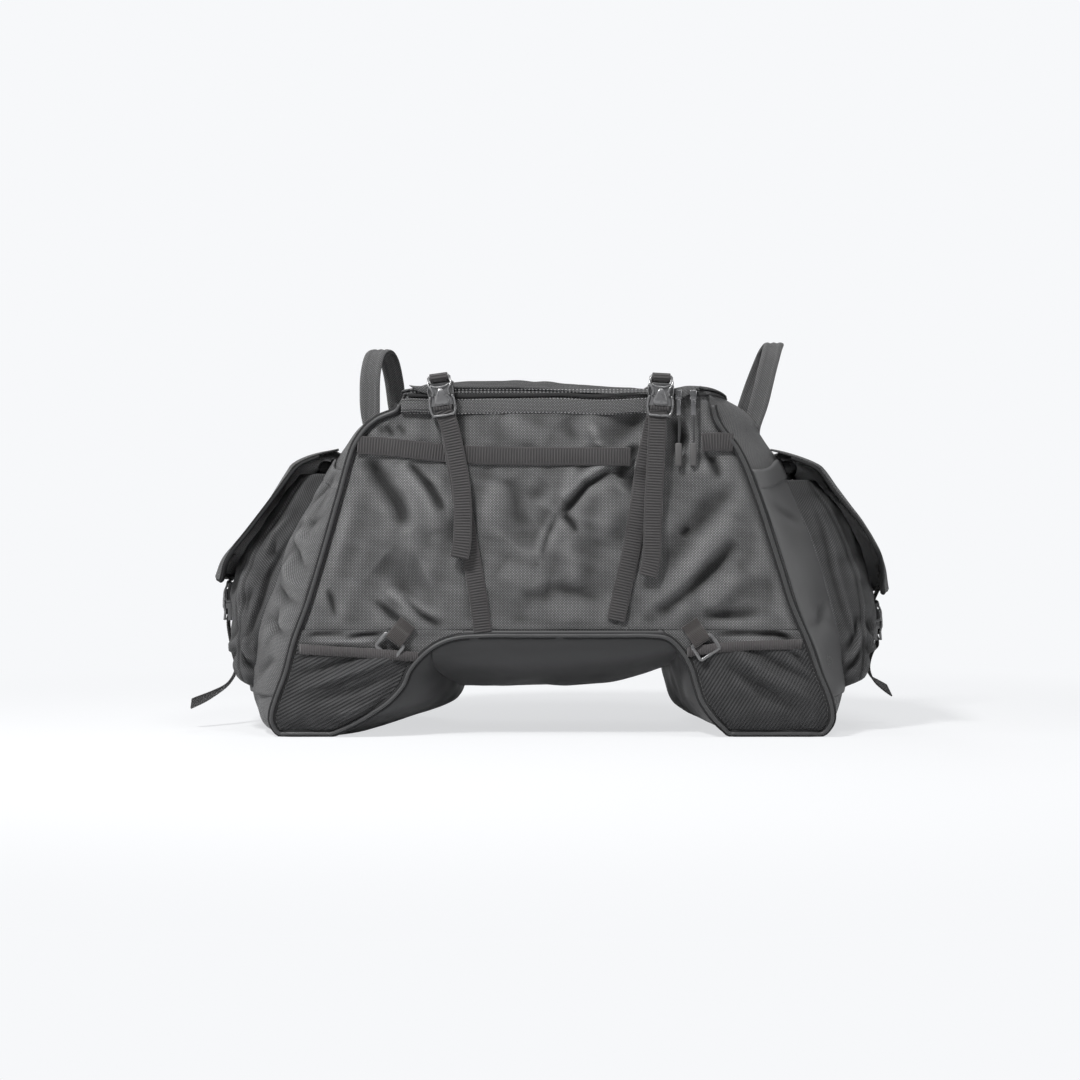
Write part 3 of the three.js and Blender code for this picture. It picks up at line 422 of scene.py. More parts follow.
def closed(name, rings, material, node=None, body="bag", flat=None):
    """A closed solid through rings of points, with flat fans at both ends."""
    rings = np.asarray(rings, float)
    count, around = rings.shape[:2]
    index = np.arange(count * around).reshape(count, around)
    a, b = index[:-1], index[1:]
    faces = np.stack([a, np.roll(a, -1, axis=1), np.roll(b, -1, axis=1), b], axis=2).reshape(-1, 4).tolist()
    points = np.concatenate([rings.reshape(-1, 3), rings[0].mean(0)[None], rings[-1].mean(0)[None]])
    first, last = count * around, count * around + 1
    for i in range(around):
        j = (i + 1) % around
        faces.append([first, index[0, j], index[0, i]])
        faces.append([last, index[-1, i], index[-1, j]])
    if flat is None:
        loop = np.concatenate([rings, rings[:, :1]], axis=1)
        flat = np.stack(np.broadcast_arrays(lengths(loop, 1)[:, :-1].mean(0)[None],
                                            lengths(rings, 0).mean(1)[:, None]), axis=2)
    flat = np.concatenate([np.asarray(flat).reshape(-1, 2), np.zeros((2, 2))])
    piece = put(name, points, faces, material, node, flat, body)
    if count > 8 and around > 60:
        relief = standing(rings, loop=True)
        mark(piece, np.append(relief * np.sign(relief.mean()), [0, 0]))
    shape = bmesh.new()
    shape.from_mesh(piece.data)
    bmesh.ops.recalc_face_normals(shape, faces=shape.faces)
    shape.to_mesh(piece.data)
    shape.free()
    return piece


class Nodes:
    """Short names for making a material's nodes."""

    def __init__(self, name, **finish):
        self.material = bpy.data.materials.new(name)
        self.material.use_nodes = True
        self.tree = self.material.node_tree
        self.shader = self.tree.nodes["Principled BSDF"]
        for socket, value in finish.items():
            self.shader.inputs[socket.replace("_", " ")].default_value = value

    def make(self, kind, **settings):
        node = self.tree.nodes.new(kind)
        for key, value in settings.items():
            setattr(node, key, value)
        return node

    def feed(self, socket, value):
        if isinstance(value, (int, float, tuple)):
            socket.default_value = value
        else:
            self.tree.links.new(value, socket)

    def math(self, operation, *values):
        node = self.make("ShaderNodeMath", operation=operation)
        for socket, value in zip(node.inputs, values):
            self.feed(socket, value)
        return node.outputs[0]

    def times(self, first, *others):
        for other in others:
            first = self.math("MULTIPLY", first, other)
        return first

    def flat_place(self):
        """The place on the cut cloth, in metres, as two numbers."""
        place = self.make("ShaderNodeUVMap", uv_map="cloth")
        parts = self.make("ShaderNodeSeparateXYZ")
        self.feed(parts.inputs[0], place.outputs[0])
        return place.outputs[0], parts.outputs[0], parts.outputs[1]

    def object_place(self):
        return self.make("ShaderNodeTexCoord").outputs["Object"]

    def noise(self, place, scale, detail=2.0, rough=0.5):
        node = self.make("ShaderNodeTexNoise")
        self.feed(node.inputs["Vector"], place)
        node.inputs["Scale"].default_value = scale
        node.inputs["Detail"].default_value = detail
        node.inputs["Roughness"].default_value = rough
        return node.outputs[0]

    def relief(self, share):
        """Painted light on what stands out and painted shade in the hollows, partly also wear."""
        value = self.make("ShaderNodeAttribute", attribute_name="relief").outputs["Fac"]
        return self.ramp(value, 1 - share, 1 + share, -2.6, 2.6)

    def ramp(self, value, dark, light, low=0.3, high=0.7):
        node = self.make("ShaderNodeMapRange")
        for socket, given in zip(node.inputs, (value, low, high, dark, light)):
            self.feed(socket, given)
        return node.outputs[0]

    def tinted(self, colour, shade):
        """The colour, made darker or lighter by a number about one."""
        node = self.make("ShaderNodeMix", data_type="RGBA", blend_type="MULTIPLY")
        node.inputs["Factor"].default_value = 1
        node.inputs["A"].default_value = (*colour, 1)
        grey = self.make("ShaderNodeCombineColor")
        for socket in grey.inputs:
            self.feed(socket, shade)
        self.feed(node.inputs["B"], grey.outputs[0])
        return node.outputs["Result"]

    def finish(self, colour, height=None, depth=0.0, rough=None):
        self.feed(self.shader.inputs["Base Color"], colour)
        if rough is not None:
            self.feed(self.shader.inputs["Roughness"], rough)
        if height is not None:
            bump = self.make("ShaderNodeBump")
            bump.inputs["Distance"].default_value = depth
            bump.inputs["Strength"].default_value = 1
            self.feed(bump.inputs["Height"], height)
            self.feed(self.shader.inputs["Normal"], bump.outputs[0])
        return self.material


def woven(name, colour, thread, relief, contrast, sheen, gloss):
    """Plain weave: at each crossing either the warp or the weft lies on top, as a short bump."""
    n = Nodes(name, Roughness=gloss, Sheen_Weight=sheen, Sheen_Roughness=0.5, Specular_IOR_Level=0.2)
    place, across, along = n.flat_place()
    u, v = n.math("DIVIDE", across, thread), n.math("DIVIDE", along, thread)
    cell = n.math("ADD", n.math("FLOOR", u), n.math("FLOOR", v))
    odd = n.math("GREATER_THAN", n.math("FLOORED_MODULO", cell, 2), 0.5)
    hump_u, hump_v = (n.math("SINE", n.times(n.math("FRACT", k), math.pi)) for k in (u, v))
    warp = n.times(hump_u, n.math("POWER", hump_v, 0.4))
    weft = n.times(n.math("POWER", hump_u, 0.4), hump_v)
    top = n.math("ADD", n.times(warp, odd), n.times(weft, n.math("SUBTRACT", 1, odd)))
    slub, soft, worn = n.noise(place, 900, 3), n.noise(place, 14, 4), n.noise(place, 70, 3, 0.6)
    # The relief paints shade into the cloth's hollows and light onto its ridges, partly also wear.
    shade = n.times(n.ramp(top, 1 - contrast, 1 + 0.6 * contrast, 0.1, 1),
                    n.ramp(slub, 1 - 0.35 * contrast, 1 + 0.35 * contrast),
                    n.ramp(odd, 1 - 0.45 * contrast, 1 + 0.45 * contrast, 0, 1),
                    n.relief(0.7), n.ramp(soft, 0.94, 1.06), n.ramp(worn, 0.97, 1.04, 0.3, 0.75))
    return n.finish(n.tinted(colour, shade), top, relief, n.ramp(soft, gloss - 0.07, gloss + 0.05))


BALLISTIC = woven("ballistic_nylon", (0.112, 0.112, 0.113), 0.0015, 0.0006, 0.85, 0.05, 0.5)
# The same nylon painted darker, as painted shade on the lid and on the end pouches and their hems.
SHADED = woven("ballistic_nylon_painted_shade", (0.053, 0.053, 0.054), 0.0015, 0.0006, 0.85, 0.05, 0.6)
CLOTH = 2


def panel(levels, face):
    """Rows of points across the front or back panel, from one piping to the other."""
    rows = []
    for z in levels:
        x = np.linspace(-LEFT["piping"](z), RIGHT["piping"](z), 250)
        rows.append(points_at(x, face(x, np.full_like(x, z)), z))
    return np.array(rows)


rows = panel(np.linspace(SEAM, ZIP, 106), front_y)[:, ::-1]
cloth("front_panel_cloth", rows, CLOTH, BALLISTIC, "main_bag", rows[:, :, [0, 2]])
rows = panel(np.linspace(SEAM, ZIP, 70), back_y)
cloth("back_panel_cloth", rows, CLOTH, BALLISTIC, "main_bag", rows[:, :, [0, 2]])


# End gussets. One long strip of the same nylon from the zip down to the foot of each leg, pushed out
# by the stuffing, with shallow dents and a crease or two where it bends over the shoulder.
LEFT["dents"] = [
    ([(-160, 184), (-140, 200), (-116, 224)], -5), ([(-158, 252), (-138, 240), (-112, 236)], -3.5),
    ([(-163, 146), (-140, 154), (-114, 170)], -4.5), ([(-156, 296), (-134, 282), (-108, 262)], -4),
    ([(-163, 112), (-142, 118), (-116, 136)], -4), ([(-160, 214), (-138, 222), (-118, 252)], 3),
    ([(-162, 166), (-140, 176), (-116, 198)], 3), ([(120, 150), (136, 190), (150, 230)], -4),
    ([(-150, 300), (-140, 262), (-128, 232)], -2.5), ([(-158, 88), (-140, 84), (-118, 70)], -3),
    ([(-126, 246), (-128, 210), (-124, 180)], 2.5), ([(-130, 150), (-132, 120), (-126, 96)], -3),
]
RIGHT["dents"] = [
    ([(-158, 264), (-136, 250), (-110, 240)], -2.5), ([(-162, 120), (-144, 128), (-120, 150)], -3),
    ([(-60, 350), (-20, 352), (30, 346)], -4), ([(120, 240), (136, 200), (150, 160)], -4),
]


def turned(rows, needed):
    """Rows of points as one grid, run the other way where its outer face would lie inside."""
    rows = np.array(rows)
    return rows[:, ::-1] if needed else rows


def gusset_x(form, z, y):
    swell = 1 - np.minimum(1, np.abs(y) / half_depth(z)) ** 2
    dents = 1.5 * ripples(y, z, 120, 50 + form["side"]) + 0.9 * ripples(y, z, 45, 60 + form["side"]) - 1.5
    y, z = np.broadcast_arrays(np.asarray(y, float), np.asarray(z, float))
    for line, depth in form["dents"]:
        dents = dents + 2.6 * depth * crease(y, z, line, 8, 5)
    return end_x(form, z, y) + swell ** 0.5 * dents * smooth(0, 25, z)


for form in SIDES:
    turn = np.linspace(-math.pi / 2, math.pi / 2, 90)
    rows = []
    for z in np.concatenate([np.linspace(0, 24, 12), np.linspace(28, ZIP, 100)]):
        y = half_depth(z) * np.sin(turn)
        rows.append(points_at(form["side"] * gusset_x(form, z, y), y, z))
    rows = turned(rows, form["side"] > 0)
    cloth(form["name"] + "_gusset_cloth", rows, CLOTH, BALLISTIC, "main_bag")


# Lid. A low domed panel of the same nylon, stuffed from below, with a standing edge that the zip is
# sewn to. The edge is folded double and puckers between the stitches.
LID_MIDDLE = (RIGHT["piping"](ZIP) - LEFT["piping"](ZIP)) / 2
LID_FOOT = ZIP + 0.3


def zip_outline(count):
    """The bag's outline at the zip, as an even ring of points."""
    turn = np.linspace(-math.pi / 2, math.pi / 2, 61)[:-1]
    half = half_depth(ZIP)
    low, high = -LEFT["piping"](ZIP), RIGHT["piping"](ZIP)
    front = np.linspace(low, high, 121)[:-1]
    y = half * np.sin(turn)
    ring = np.concatenate([np.stack(np.broadcast_arrays(*pair), 1) for pair in (
        (front, -half), (end_x(RIGHT, ZIP, y), y), (front[::-1] + (high - low) / 120, half),
        (-end_x(LEFT, ZIP, -y), -y))])
    loop = np.concatenate([ring, ring[:1]])
    run = run_of(loop)
    even = np.linspace(0, run[-1], count, endpoint=False)
    return np.stack([np.interp(even, run, loop[:, 0]), np.interp(even, run, loop[:, 1])], 1)


def lid_height(share):
    return LID_FOOT + 8 + 18 * (1 - share**2)


def lid_sag(x, y):
    """How far the half empty lid sinks to the right of its middle, most of all at its front."""
    place = smooth(-50, 80, x) * smooth(162, 132, x)
    return place * (5.5 + 2 * smooth(-60, -150, y)) + 5 * smooth(160, 205, x) + 4 * smooth(-136, -172, x)


ring = zip_outline(420)
around = np.linspace(0, 2 * math.pi, 420, endpoint=False)
pucker = ripples(ring[:, 0], ring[:, 1], 34, 71)
edge = [(1, 0), (1, 1.5), (1, 3), (0.999, 4.2), (0.985, 5), (0.975, 5.6), (0.985, 6.3), (1.002, 6.8), (1.01, 8),
        (1.006, 9.4)]
levels = [(s, LID_FOOT + up) for s, up in edge] + [(s, lid_height(s) + 1.5) for s in (0.998, 0.985, 0.97)]
standing_rows = len(levels)
levels += [(s, lid_height(s)) for s in np.linspace(0.95, 0.02, 46)]
rows = []
for share, height in levels:
    x = (ring[:, 0] - LID_MIDDLE) * share + LID_MIDDLE
    y = ring[:, 1] * share
    inner = smooth(1, 0.9, share)
    z = height + inner * (1.5 * ripples(x, y, 130, 72) + 0.7 * ripples(x, y, 45, 73))
    z = z - 1.6 * np.exp(-((share - 0.955) / 0.012) ** 2) - lid_sag(x, y) * min(1, (height - LID_FOOT) / 8)
    out = (1 - inner) * 1.1 * pucker * smooth(0, 5, height - LID_FOOT)
    rows.append(points_at(x + out * np.cos(around), y - out * np.abs(np.sin(around)) * np.sign(-y), z))
rows = np.array(rows)
flat = rows[:, :, :2].copy()
flat[:standing_rows, :, 1] -= LID_FOOT + 8 - rows[:standing_rows, :, 2]
# The lid's cloth is painted darker, as painted shade.
closed("lid_cloth", rows, SHADED, "lid_panel", flat=flat)


# Legs. Each hangs over one side of the seat: a soft box of the same nylon, whose inner wall and floor
# are smooth coated cloth against the bike. The stuffing ends above the floor, so the foot is slack.
def plain(name, colour, gloss, grain, relief, sheen=0.1):
    """Coated cloth: nearly smooth, with a fine grain and soft unevenness in its colour."""
    n = Nodes(name, Roughness=gloss, Sheen_Weight=sheen, Specular_IOR_Level=0.4)
    place = n.object_place()
    fine, soft = n.noise(place, grain, 3), n.noise(place, 22, 4)
    # The relief paints shade into the cloth's hollows and light onto its ridges, partly also wear.
    shade = n.times(n.ramp(fine, 0.93, 1.07), n.ramp(soft, 0.92, 1.08), n.relief(0.35))
    return n.finish(n.tinted(colour, shade), fine, relief, n.ramp(soft, gloss - 0.06, gloss + 0.06))


COATED = plain("coated_nylon", (0.020, 0.020, 0.021), 0.5, 1800, 0.00006)
LEFT["inner_front"] = through([[0, 262], [3, 256], [9, 241], [16, 226], [25, 209], [43, 183], [60, 168],
                               [76, 161], [91, 149], [106, 130], [114, 108], [120, 84]])
LEFT["inner_middle"] = through([[0, 205], [5, 188], [14, 163], [24, 130], [35, 110], [55, 104],
                                [76, 104], [106, 104], [120, 104]])
RIGHT["inner_front"] = through([[0, 206], [5, 202], [20, 186], [42, 170], [79, 158], [97, 148],
                                [107, 139], [114, 129], [120, 118]])
RIGHT["inner_middle"] = through([[0, 206], [5, 192], [17, 163], [29, 149], [52, 139], [79, 132],
                                 [107, 129], [120, 128]])


def inner_x(form, z, y):
    t = np.minimum(1, np.abs(y) / half_depth(z))
    return form["inner_front"](z) + (form["inner_middle"](z) - form["inner_front"](z)) * (1 - t**2) ** 0.6


LEFT["opening"] = [([(232, 110), (212, 114), (188, 117)], -5), ([(276, 112), (262, 116), (230, 117)], -4),
                   ([(268, 106), (236, 107), (196, 108)], 2.5)]
RIGHT["opening"] = [([(222, 117), (250, 117), (272, 108)], -5), ([(182, 115), (206, 117), (232, 117)], -3.5),
                    ([(186, 109), (226, 110), (262, 104)], 2.5)]


def leg_front(form, x, z):
    """Front face of a leg: nearly flat, with soft dents that fade out at its edges."""
    edge = np.minimum(form["piping"](z) - x, x - form["inner_front"](z))
    hold = smooth(0, 18, edge) * smooth(0, 14, z) * smooth(SEAM, SEAM - 5, z)
    relief = (0.6 * ripples(x, z, 70, 80 + form["side"]) + 0.4 * ripples(x, z, 28, 90 + form["side"])
              - 1.5 * smooth(104, 92, z))
    for line, depth in form["opening"]:
        relief = relief + depth * crease(x, z, line, 4.5, 3)
    return -half_depth(z) - hold * relief


LEG_LEVELS = np.concatenate([[0, 1, 2.5, 4.5, 7, 10, 13, 16, 20], np.linspace(24, SEAM, 40)])
for form in SIDES:
    side = form["side"]
    leg = form["name"] + "_leg"
    for face in ("front", "back"):
        rows = []
        for z in LEG_LEVELS:
            x = np.linspace(form["inner_front"](z), form["piping"](z), 80)
            y = leg_front(form, x, np.full_like(x, z))
            rows.append(points_at(side * x, y if face == "front" else -y, z))
        rows = turned(rows, (side > 0) == (face == "front"))
        cloth(f"{leg}_{face}", rows, CLOTH, BALLISTIC, leg, rows[:, :, [0, 2]])
    rows = []
    turn = np.linspace(-math.pi / 2, math.pi / 2, 80)
    for z in LEG_LEVELS:
        y = half_depth(z) * np.sin(turn)
        hold = np.cos(turn) ** 0.5 * smooth(0, 12, z)
        x = inner_x(form, z, y) - hold * (1.2 + 1.4 * ripples(y, z, 75, 100 + side)
                                          + 0.7 * ripples(y, z, 30, 104 + side))
        rows.append(points_at(side * x, y, z))
    cloth(leg + "_inner", turned(rows, side < 0), CLOTH, COATED, leg)
    rows = []
    for y in half_depth(0) * np.sin(turn):
        x = np.linspace(inner_x(form, 0, y), end_x(form, 0, y), 40)
        rows.append(points_at(side * x, y, 0.05))
    cloth(leg + "_sole", turned(rows, side > 0), -CLOTH, COATED, leg)


# Base panel. Smooth coated cloth between the legs, which sags onto the seat under the load. It is
# turned up along the front and rear seams.
def belly(y, u):
    along = np.sqrt(np.maximum(0, 1 - (y / HALF_DEEP) ** 2))
    across = 1 - 0.35 * np.maximum(0, 2 * u - 1) ** 2
    return SEAM - 3.3 - 67 * along * across


rows = []
for angle in np.linspace(-math.pi / 2, math.pi / 2, 110):
    y = HALF_DEEP * math.sin(angle)
    u = np.linspace(0, 1, 110)
    sag = belly(y, u)
    low = -inner_x(LEFT, sag[0], y) - 1
    high = inner_x(RIGHT, sag[-1], y) + 1
    x = low + (high - low) * u
    hold = math.cos(angle) * np.sin(np.pi * u) ** 0.5
    z = sag + hold * (1.6 * ripples(x, y, 120, 120) + 0.8 * ripples(x, y, 45, 121))
    rows.append(points_at(x, y, z))
rows.insert(0, rows[0] + (0, 0, 3.2))
rows.append(rows[-1] + (0, 0, 3.2))
cloth("base_cloth", turned(rows, True), CLOTH, COATED, "base_panel")


# Piping. A cord in a folded strip of smooth dark cloth, sewn into every edge of the front and back
# panels: down each side, round the legs and over the arch. A thin, nearly black strip lies flat on the
# panel beside each cord, as painted shade in the groove along the piping.
TRIM = plain("piping_cloth", (0.036, 0.036, 0.037), 0.45, 1400, 0.00005, 0.1)
# Nearly black cloth: painted shade for the strips beside the piping, and the zip's black coil.
GROOVE = plain("groove_shade_and_black_coil", (0.012, 0.012, 0.0125), 0.85, 1400, 0.00005, 0)


def smooth_line(points, spacing):
    """Even points on a smooth curve through a few points."""
    points = np.asarray(points, float)
    knots = np.concatenate([[0], np.cumsum(np.linalg.norm(np.diff(points, axis=0), axis=1) ** 0.5)])
    before = np.concatenate([points[:1] * 2 - points[1:2], points, points[-1:] * 2 - points[-2:-1]])
    times = np.concatenate([[2 * knots[0] - knots[1]], knots, [2 * knots[-1] - knots[-2]]])
    fine = []
    for i in range(len(points) - 1):
        p, t = before[i:i + 4], times[i:i + 4]
        for s in np.linspace(t[1], t[2], 24, endpoint=False):
            a = [(t[j + 1] - s) / (t[j + 1] - t[j]) * p[j] + (s - t[j]) / (t[j + 1] - t[j]) * p[j + 1]
                 for j in range(3)]
            b = [(t[j + 2] - s) / (t[j + 2] - t[j]) * a[j] + (s - t[j]) / (t[j + 2] - t[j]) * a[j + 1]
                 for j in range(2)]
            fine.append((t[2] - s) / (t[2] - t[1]) * b[0] + (s - t[1]) / (t[2] - t[1]) * b[1])
    fine = np.array(fine + [points[-1]])
    run = run_of(fine)
    even = np.linspace(0, run[-1], max(2, int(run[-1] / spacing) + 1))
    return np.stack([np.interp(even, run, fine[:, k]) for k in range(3)], axis=1)


def directions(line):
    return unit(np.gradient(line, axis=0))


def swept(name, line, across, section, material, node=None, body="bag"):
    """A solid of one section, given as (across, outward) points, along a line. Across may vary."""
    line = np.asarray(line, float)
    across = np.broadcast_to(np.asarray(across, float), line.shape)
    along = directions(line)
    outward = unit(np.cross(across, along))
    section = np.asarray(section, float)
    if section.ndim == 2:
        section = np.broadcast_to(section, (len(line), *section.shape))
    rings = line[:, None] + across[:, None] * section[:, :, :1] + outward[:, None] * section[:, :, 1:]
    flat = np.stack(np.broadcast_arrays(section[:, :, 0], run_of(line)[:, None]), axis=2)
    return closed(name, rings, material, node, body, flat)


def disc(radius, count=10):
    turn = np.linspace(0, 2 * math.pi, count, endpoint=False)
    return np.stack([radius * np.cos(turn), radius * np.sin(turn)], axis=1)


def piping_line(face):
    down = [371, 364, 355, 345, 335, 324, 304, 284, 250, 220, 185, 150, 106, 72, 45, 30, 20, 12, 6, 2]
    up = [2, 6, 12, 20, 29, 42, 60, 76, 91, 106, 114]
    outline = [(-LEFT["piping"](z), z) for z in down]
    outline += [(12 - LEFT["piping"](0), 0), (-LEFT["inner_front"](0) - 12, 0)]
    outline += [(-LEFT["inner_front"](z), z) for z in up]
    arch = np.linspace(10 - LEFT["inner_front"](SEAM), RIGHT["inner_front"](SEAM) - 10, 6)
    outline += [(x, SEAM - 3.3) for x in arch]
    outline += [(RIGHT["inner_front"](z), z) for z in up[::-1]]
    outline += [(RIGHT["inner_front"](0) + 12, 0), (RIGHT["piping"](0) - 12, 0)]
    outline += [(RIGHT["piping"](z), z) for z in down[::-1]]
    outline = np.array(outline, float)
    run = directions(outline)
    out = 3.5 * math.sqrt(0.5)
    z = np.maximum(outline[:, 1] - run[:, 0] * out, 3.9)
    forward = np.where(z > 3.9, half_depth(outline[:, 1]) + out, half_depth(z + 2.6) + 3.5)
    return points_at(outline[:, 0] + run[:, 1] * out, face * forward, z)


for face, name in ((-1, "front"), (1, "back")):
    line = smooth_line(piping_line(face), 3)
    line[:, 1] += face * ripples(line[:, 0], line[:, 2], 30, 130) * 0.3
    swept(name + "_piping_cord", line, (0, 1, 0), disc(2.0, 12), TRIM, name + "_piping")
    # A flat dark strip beside the cord, as painted shade in the groove.
    bed = points_at(line[:, 0], line[:, 1] - face * 1.5, np.maximum(line[:, 2], 4.8))
    swept(name + "_piping_shade_strip", bed, np.cross(directions(bed), (0, 1, 0)), disc(1, 12) * (4.6, 0.9),
          GROOVE, name + "_piping")


# Stitching. Heavy grey thread along the zip's band and the lid's standing edge, in even stitches that
# sink into the cloth at both ends.
THREAD = plain("thread", (0.3, 0.3, 0.305), 0.6, 3000, 0.00002, 0.2)


def stitches(name, line, node, stitch=2.6, gap=1.5):
    line = smooth_line(line, stitch + gap)
    along = directions(line)
    outward = np.array((0.0, -1.0, 0.0))
    side = unit(np.cross(along, outward))
    ends = (-along * stitch / 2, along * stitch / 2, -side * 0.62, side * 0.62, -outward * 0.5, outward * 0.45)
    spots = np.stack([line + end for end in ends], axis=1)
    corners = [(0, 2, 5), (2, 1, 5), (1, 3, 5), (3, 0, 5), (2, 0, 4), (1, 2, 4), (3, 1, 4), (0, 3, 4)]
    faces = (np.array(corners) + 6 * np.arange(len(line))[:, None, None]).reshape(-1, 3)
    put(name, spots.reshape(-1, 3), faces.tolist(), THREAD, node)


# Slip pocket panel on each end gusset. Smooth lighter nylon over most of the gusset, closed by a
# turned hem at the top that stands a little open, and sewn down round the other three edges.
SMOOTH = plain("smooth_nylon", (0.068, 0.068, 0.069), 0.6, 1500, 0.00008, 0)
POCKET_FOOT, POCKET_TALL, POCKET_HALF = 46, 269, 162
for form in SIDES:
    side = form["side"]
    name = form["name"]
    width = np.linspace(-POCKET_HALF, POCKET_HALF, 110)
    rows = []
    for share in np.linspace(0, 1, 90):
        z = POCKET_FOOT + share * (POCKET_TALL - 15 * smooth(96, 160, np.abs(width)))
        y = width * np.minimum(1, half_depth(z) / HALF_DEEP)
        near_edge = smooth(POCKET_HALF, 146, np.abs(width))
        open_top = 1.6 * np.exp(-((1 - share) * POCKET_TALL / 14) ** 2) * near_edge
        pull = near_edge * (1.0 * ripples(y, z, 90, 140 + side) - 1.2 * crease(
            np.abs(y), np.full_like(y, z), [(146, 150), (122, 128), (104, 118)], 9, 9))
        proud = 0.5 + (2.2 * near_edge if side < 0 else 1.4)
        x = gusset_x(form, z, y) + proud + open_top + 1.5 * pull * smooth(POCKET_FOOT, 60, z)
        rows.append(points_at(side * x, y, z))
    rows = np.array(rows)
    fabric, node = (BALLISTIC if side < 0 else SMOOTH), name + "_end_panel"
    pocket = cloth(name + "_slip_pocket", turned(rows, side > 0), 1.6, fabric, node)
    hem = rows[-9:, :].copy()
    hem[:, :, 0] += side * 1.1
    hem[0, :, 0] -= side * 2.2
    cloth(name + "_slip_pocket_hem", turned(hem, side > 0), 1.8, fabric, node)


# Pouch on each end. A boxy pocket of the same nylon with a sewn ridge where its walls meet its face,
# half empty, so that the walls buckle into a few deep creases above its floor.
LEFT["pouch"] = [[50, 361], [62, 369], [85, 376], [110, 378], [150, 378], [180, 373], [223, 353],
                 [263, 324], [297, 298]]
RIGHT["pouch"] = [[50, 354], [62, 370], [85, 379], [110, 382], [150, 382], [190, 374], [223, 361],
                  [263, 337], [290, 313]]
LEFT["pouch_folds"] = [
    ([(-142, 228), (-129, 177), (-130, 157), (-128, 144), (-122, 118), (-106, 103)], -7),
    ([(-112, 168), (-107, 150), (-111, 134)], -5), ([(-103, 162), (-99, 148), (-103, 136)], -4),
    ([(-106, 98), (-115, 80), (-144, 70)], -7), ([(-116, 112), (-112, 96), (-128, 84)], 5),
    ([(-134, 106), (-127, 92), (-142, 82)], 5), ([(-140, 200), (-124, 206), (-112, 230)], -5),
    ([(-118, 250), (-112, 230), (-116, 205)], 4),
    ([(-88, 235), (-80, 190), (-84, 150), (-95, 118), (-70, 100)], -5),
    ([(-30, 160), (-34, 135), (-30, 112)], -4), ([(-8, 165), (-12, 130), (-6, 100)], -3),
    ([(-100, 96), (-60, 84), (-20, 86)], -6), ([(-96, 108), (-62, 97), (-30, 99)], 4),
    ([(30, 150), (60, 120), (80, 90)], -4), ([(10, 90), (50, 82), (95, 92)], -5),
]
RIGHT["pouch_folds"] = [
    ([(-112, 262), (-119, 220), (-125, 184), (-124, 150), (-120, 124), (-104, 90)], 3),
    ([(-117, 262), (-124, 220), (-130, 184), (-129, 150), (-125, 124), (-110, 90)], -4),
    ([(-104, 136), (-112, 110), (-138, 92)], -6), ([(-106, 112), (-118, 92), (-142, 78)], 5),
    ([(-108, 96), (-120, 78), (-142, 66)], -6), ([(-98, 132), (-76, 112), (-60, 106)], -6),
    ([(-100, 118), (-80, 98), (-50, 92)], 4), ([(-104, 104), (-70, 88), (-30, 82)], -6),
    ([(40, 190), (60, 150), (78, 110)], -4), ([(0, 84), (50, 78), (96, 88)], -4),
]
POUCH_FOOT, POUCH_HALF = 50, 108
for form in SIDES:
    side = form["side"]
    name = form["name"]
    reach_at = through(form["pouch"])
    rows = []
    wall = np.arccos(np.linspace(0, 0.57, 28) ** (1 / 0.42))
    face = np.linspace(-wall[-1], wall[-1], 92)
    turn = np.concatenate([-wall[:-1], face, wall[-2::-1]])
    girth = np.concatenate([np.linspace(-150, -106, 27), POUCH_HALF * np.sin(face), np.linspace(106, 150, 27)])
    top = form["pouch"][-1][0]
    for z in np.concatenate([POUCH_FOOT + np.array([0, 0.6, 1.5]), np.linspace(POUCH_FOOT + 3, top, 90)]):
        base = end_x(form, z, POUCH_HALF) - 5
        foot = 1 - 0.5 * (1 - smooth(POUCH_FOOT, 62, z)) ** 2
        share = np.maximum(0, np.cos(turn)) ** 0.42 * foot
        y = POUCH_HALF * np.sin(turn) * (1 - 0.05 * (1 - smooth(POUCH_FOOT, 70, z)))
        x = base + (reach_at(z) - base) * share
        relief = 2.4 * ripples(girth, z, 70, 150 + side) + 1.1 * ripples(girth, z, 28, 160 + side)
        for line, depth in form["pouch_folds"]:
            relief = relief + 1.4 * depth * crease(girth, np.full_like(girth, z), line, 6, 4.5)
        ridge = np.exp(-((np.abs(turn) - 1.17) / 0.022) ** 2)
        relief = relief * (share ** 0.3) + 1.6 * ridge - 1.8 * np.exp(-((np.abs(turn) - 1.24) / 0.03) ** 2)
        hold = np.clip(np.minimum((z - POUCH_FOOT) / 14, (top - z) / 16), 0, 1)
        near = smooth(26, 14, np.abs(y)) * smooth(60, 70, z)
        relief = np.clip(relief, -11, 4) * hold * (1 - near) - 0.8 * near
        x = x + relief * np.cos(turn) ** 0.5
        y = y + relief * np.sin(turn) * 0.8
        rows.append(points_at(side * x, y, z))
    # The pouch's cloth is painted darker, as painted shade.
    pouch = closed(name + "_pouch_cloth", rows, SHADED, name + "_pouch")
for form in SIDES:
    y = np.linspace(-100, 100, 60)
    rolled_top = points_at(form["side"] * (end_x(form, 305, y) + 5), y, 304.5 + 0.8 * np.sin(y / 13))
    # The pouch's rolled hem is painted darker too, as painted shade.
    swept(form["name"] + "_pouch_hem", rolled_top, (0, 0, 1), disc(8, 14), SHADED)


# Flap over each pouch. Two layers of nylon with a bound edge, sewn to the gusset above the pouch,
# stiff enough to stand out over it, and held down by its strap.
LEFT["flap"] = [[280, 320], [297, 313], [308, 300], [334, 265], [366, 223], [388, 196], [395, 176]]
RIGHT["flap"] = [[292, 320], [318, 303], [337, 282], [352, 265], [371, 242], [384, 218], [394, 190],
                 [396, 162]]
LEFT["flap_slack"], RIGHT["flap_slack"] = 4, 8
FLAP_SEAM = 320.3
BINDING = plain("edge_binding", (0.009, 0.009, 0.0095), 0.85, 2200, 0.00012, 0)


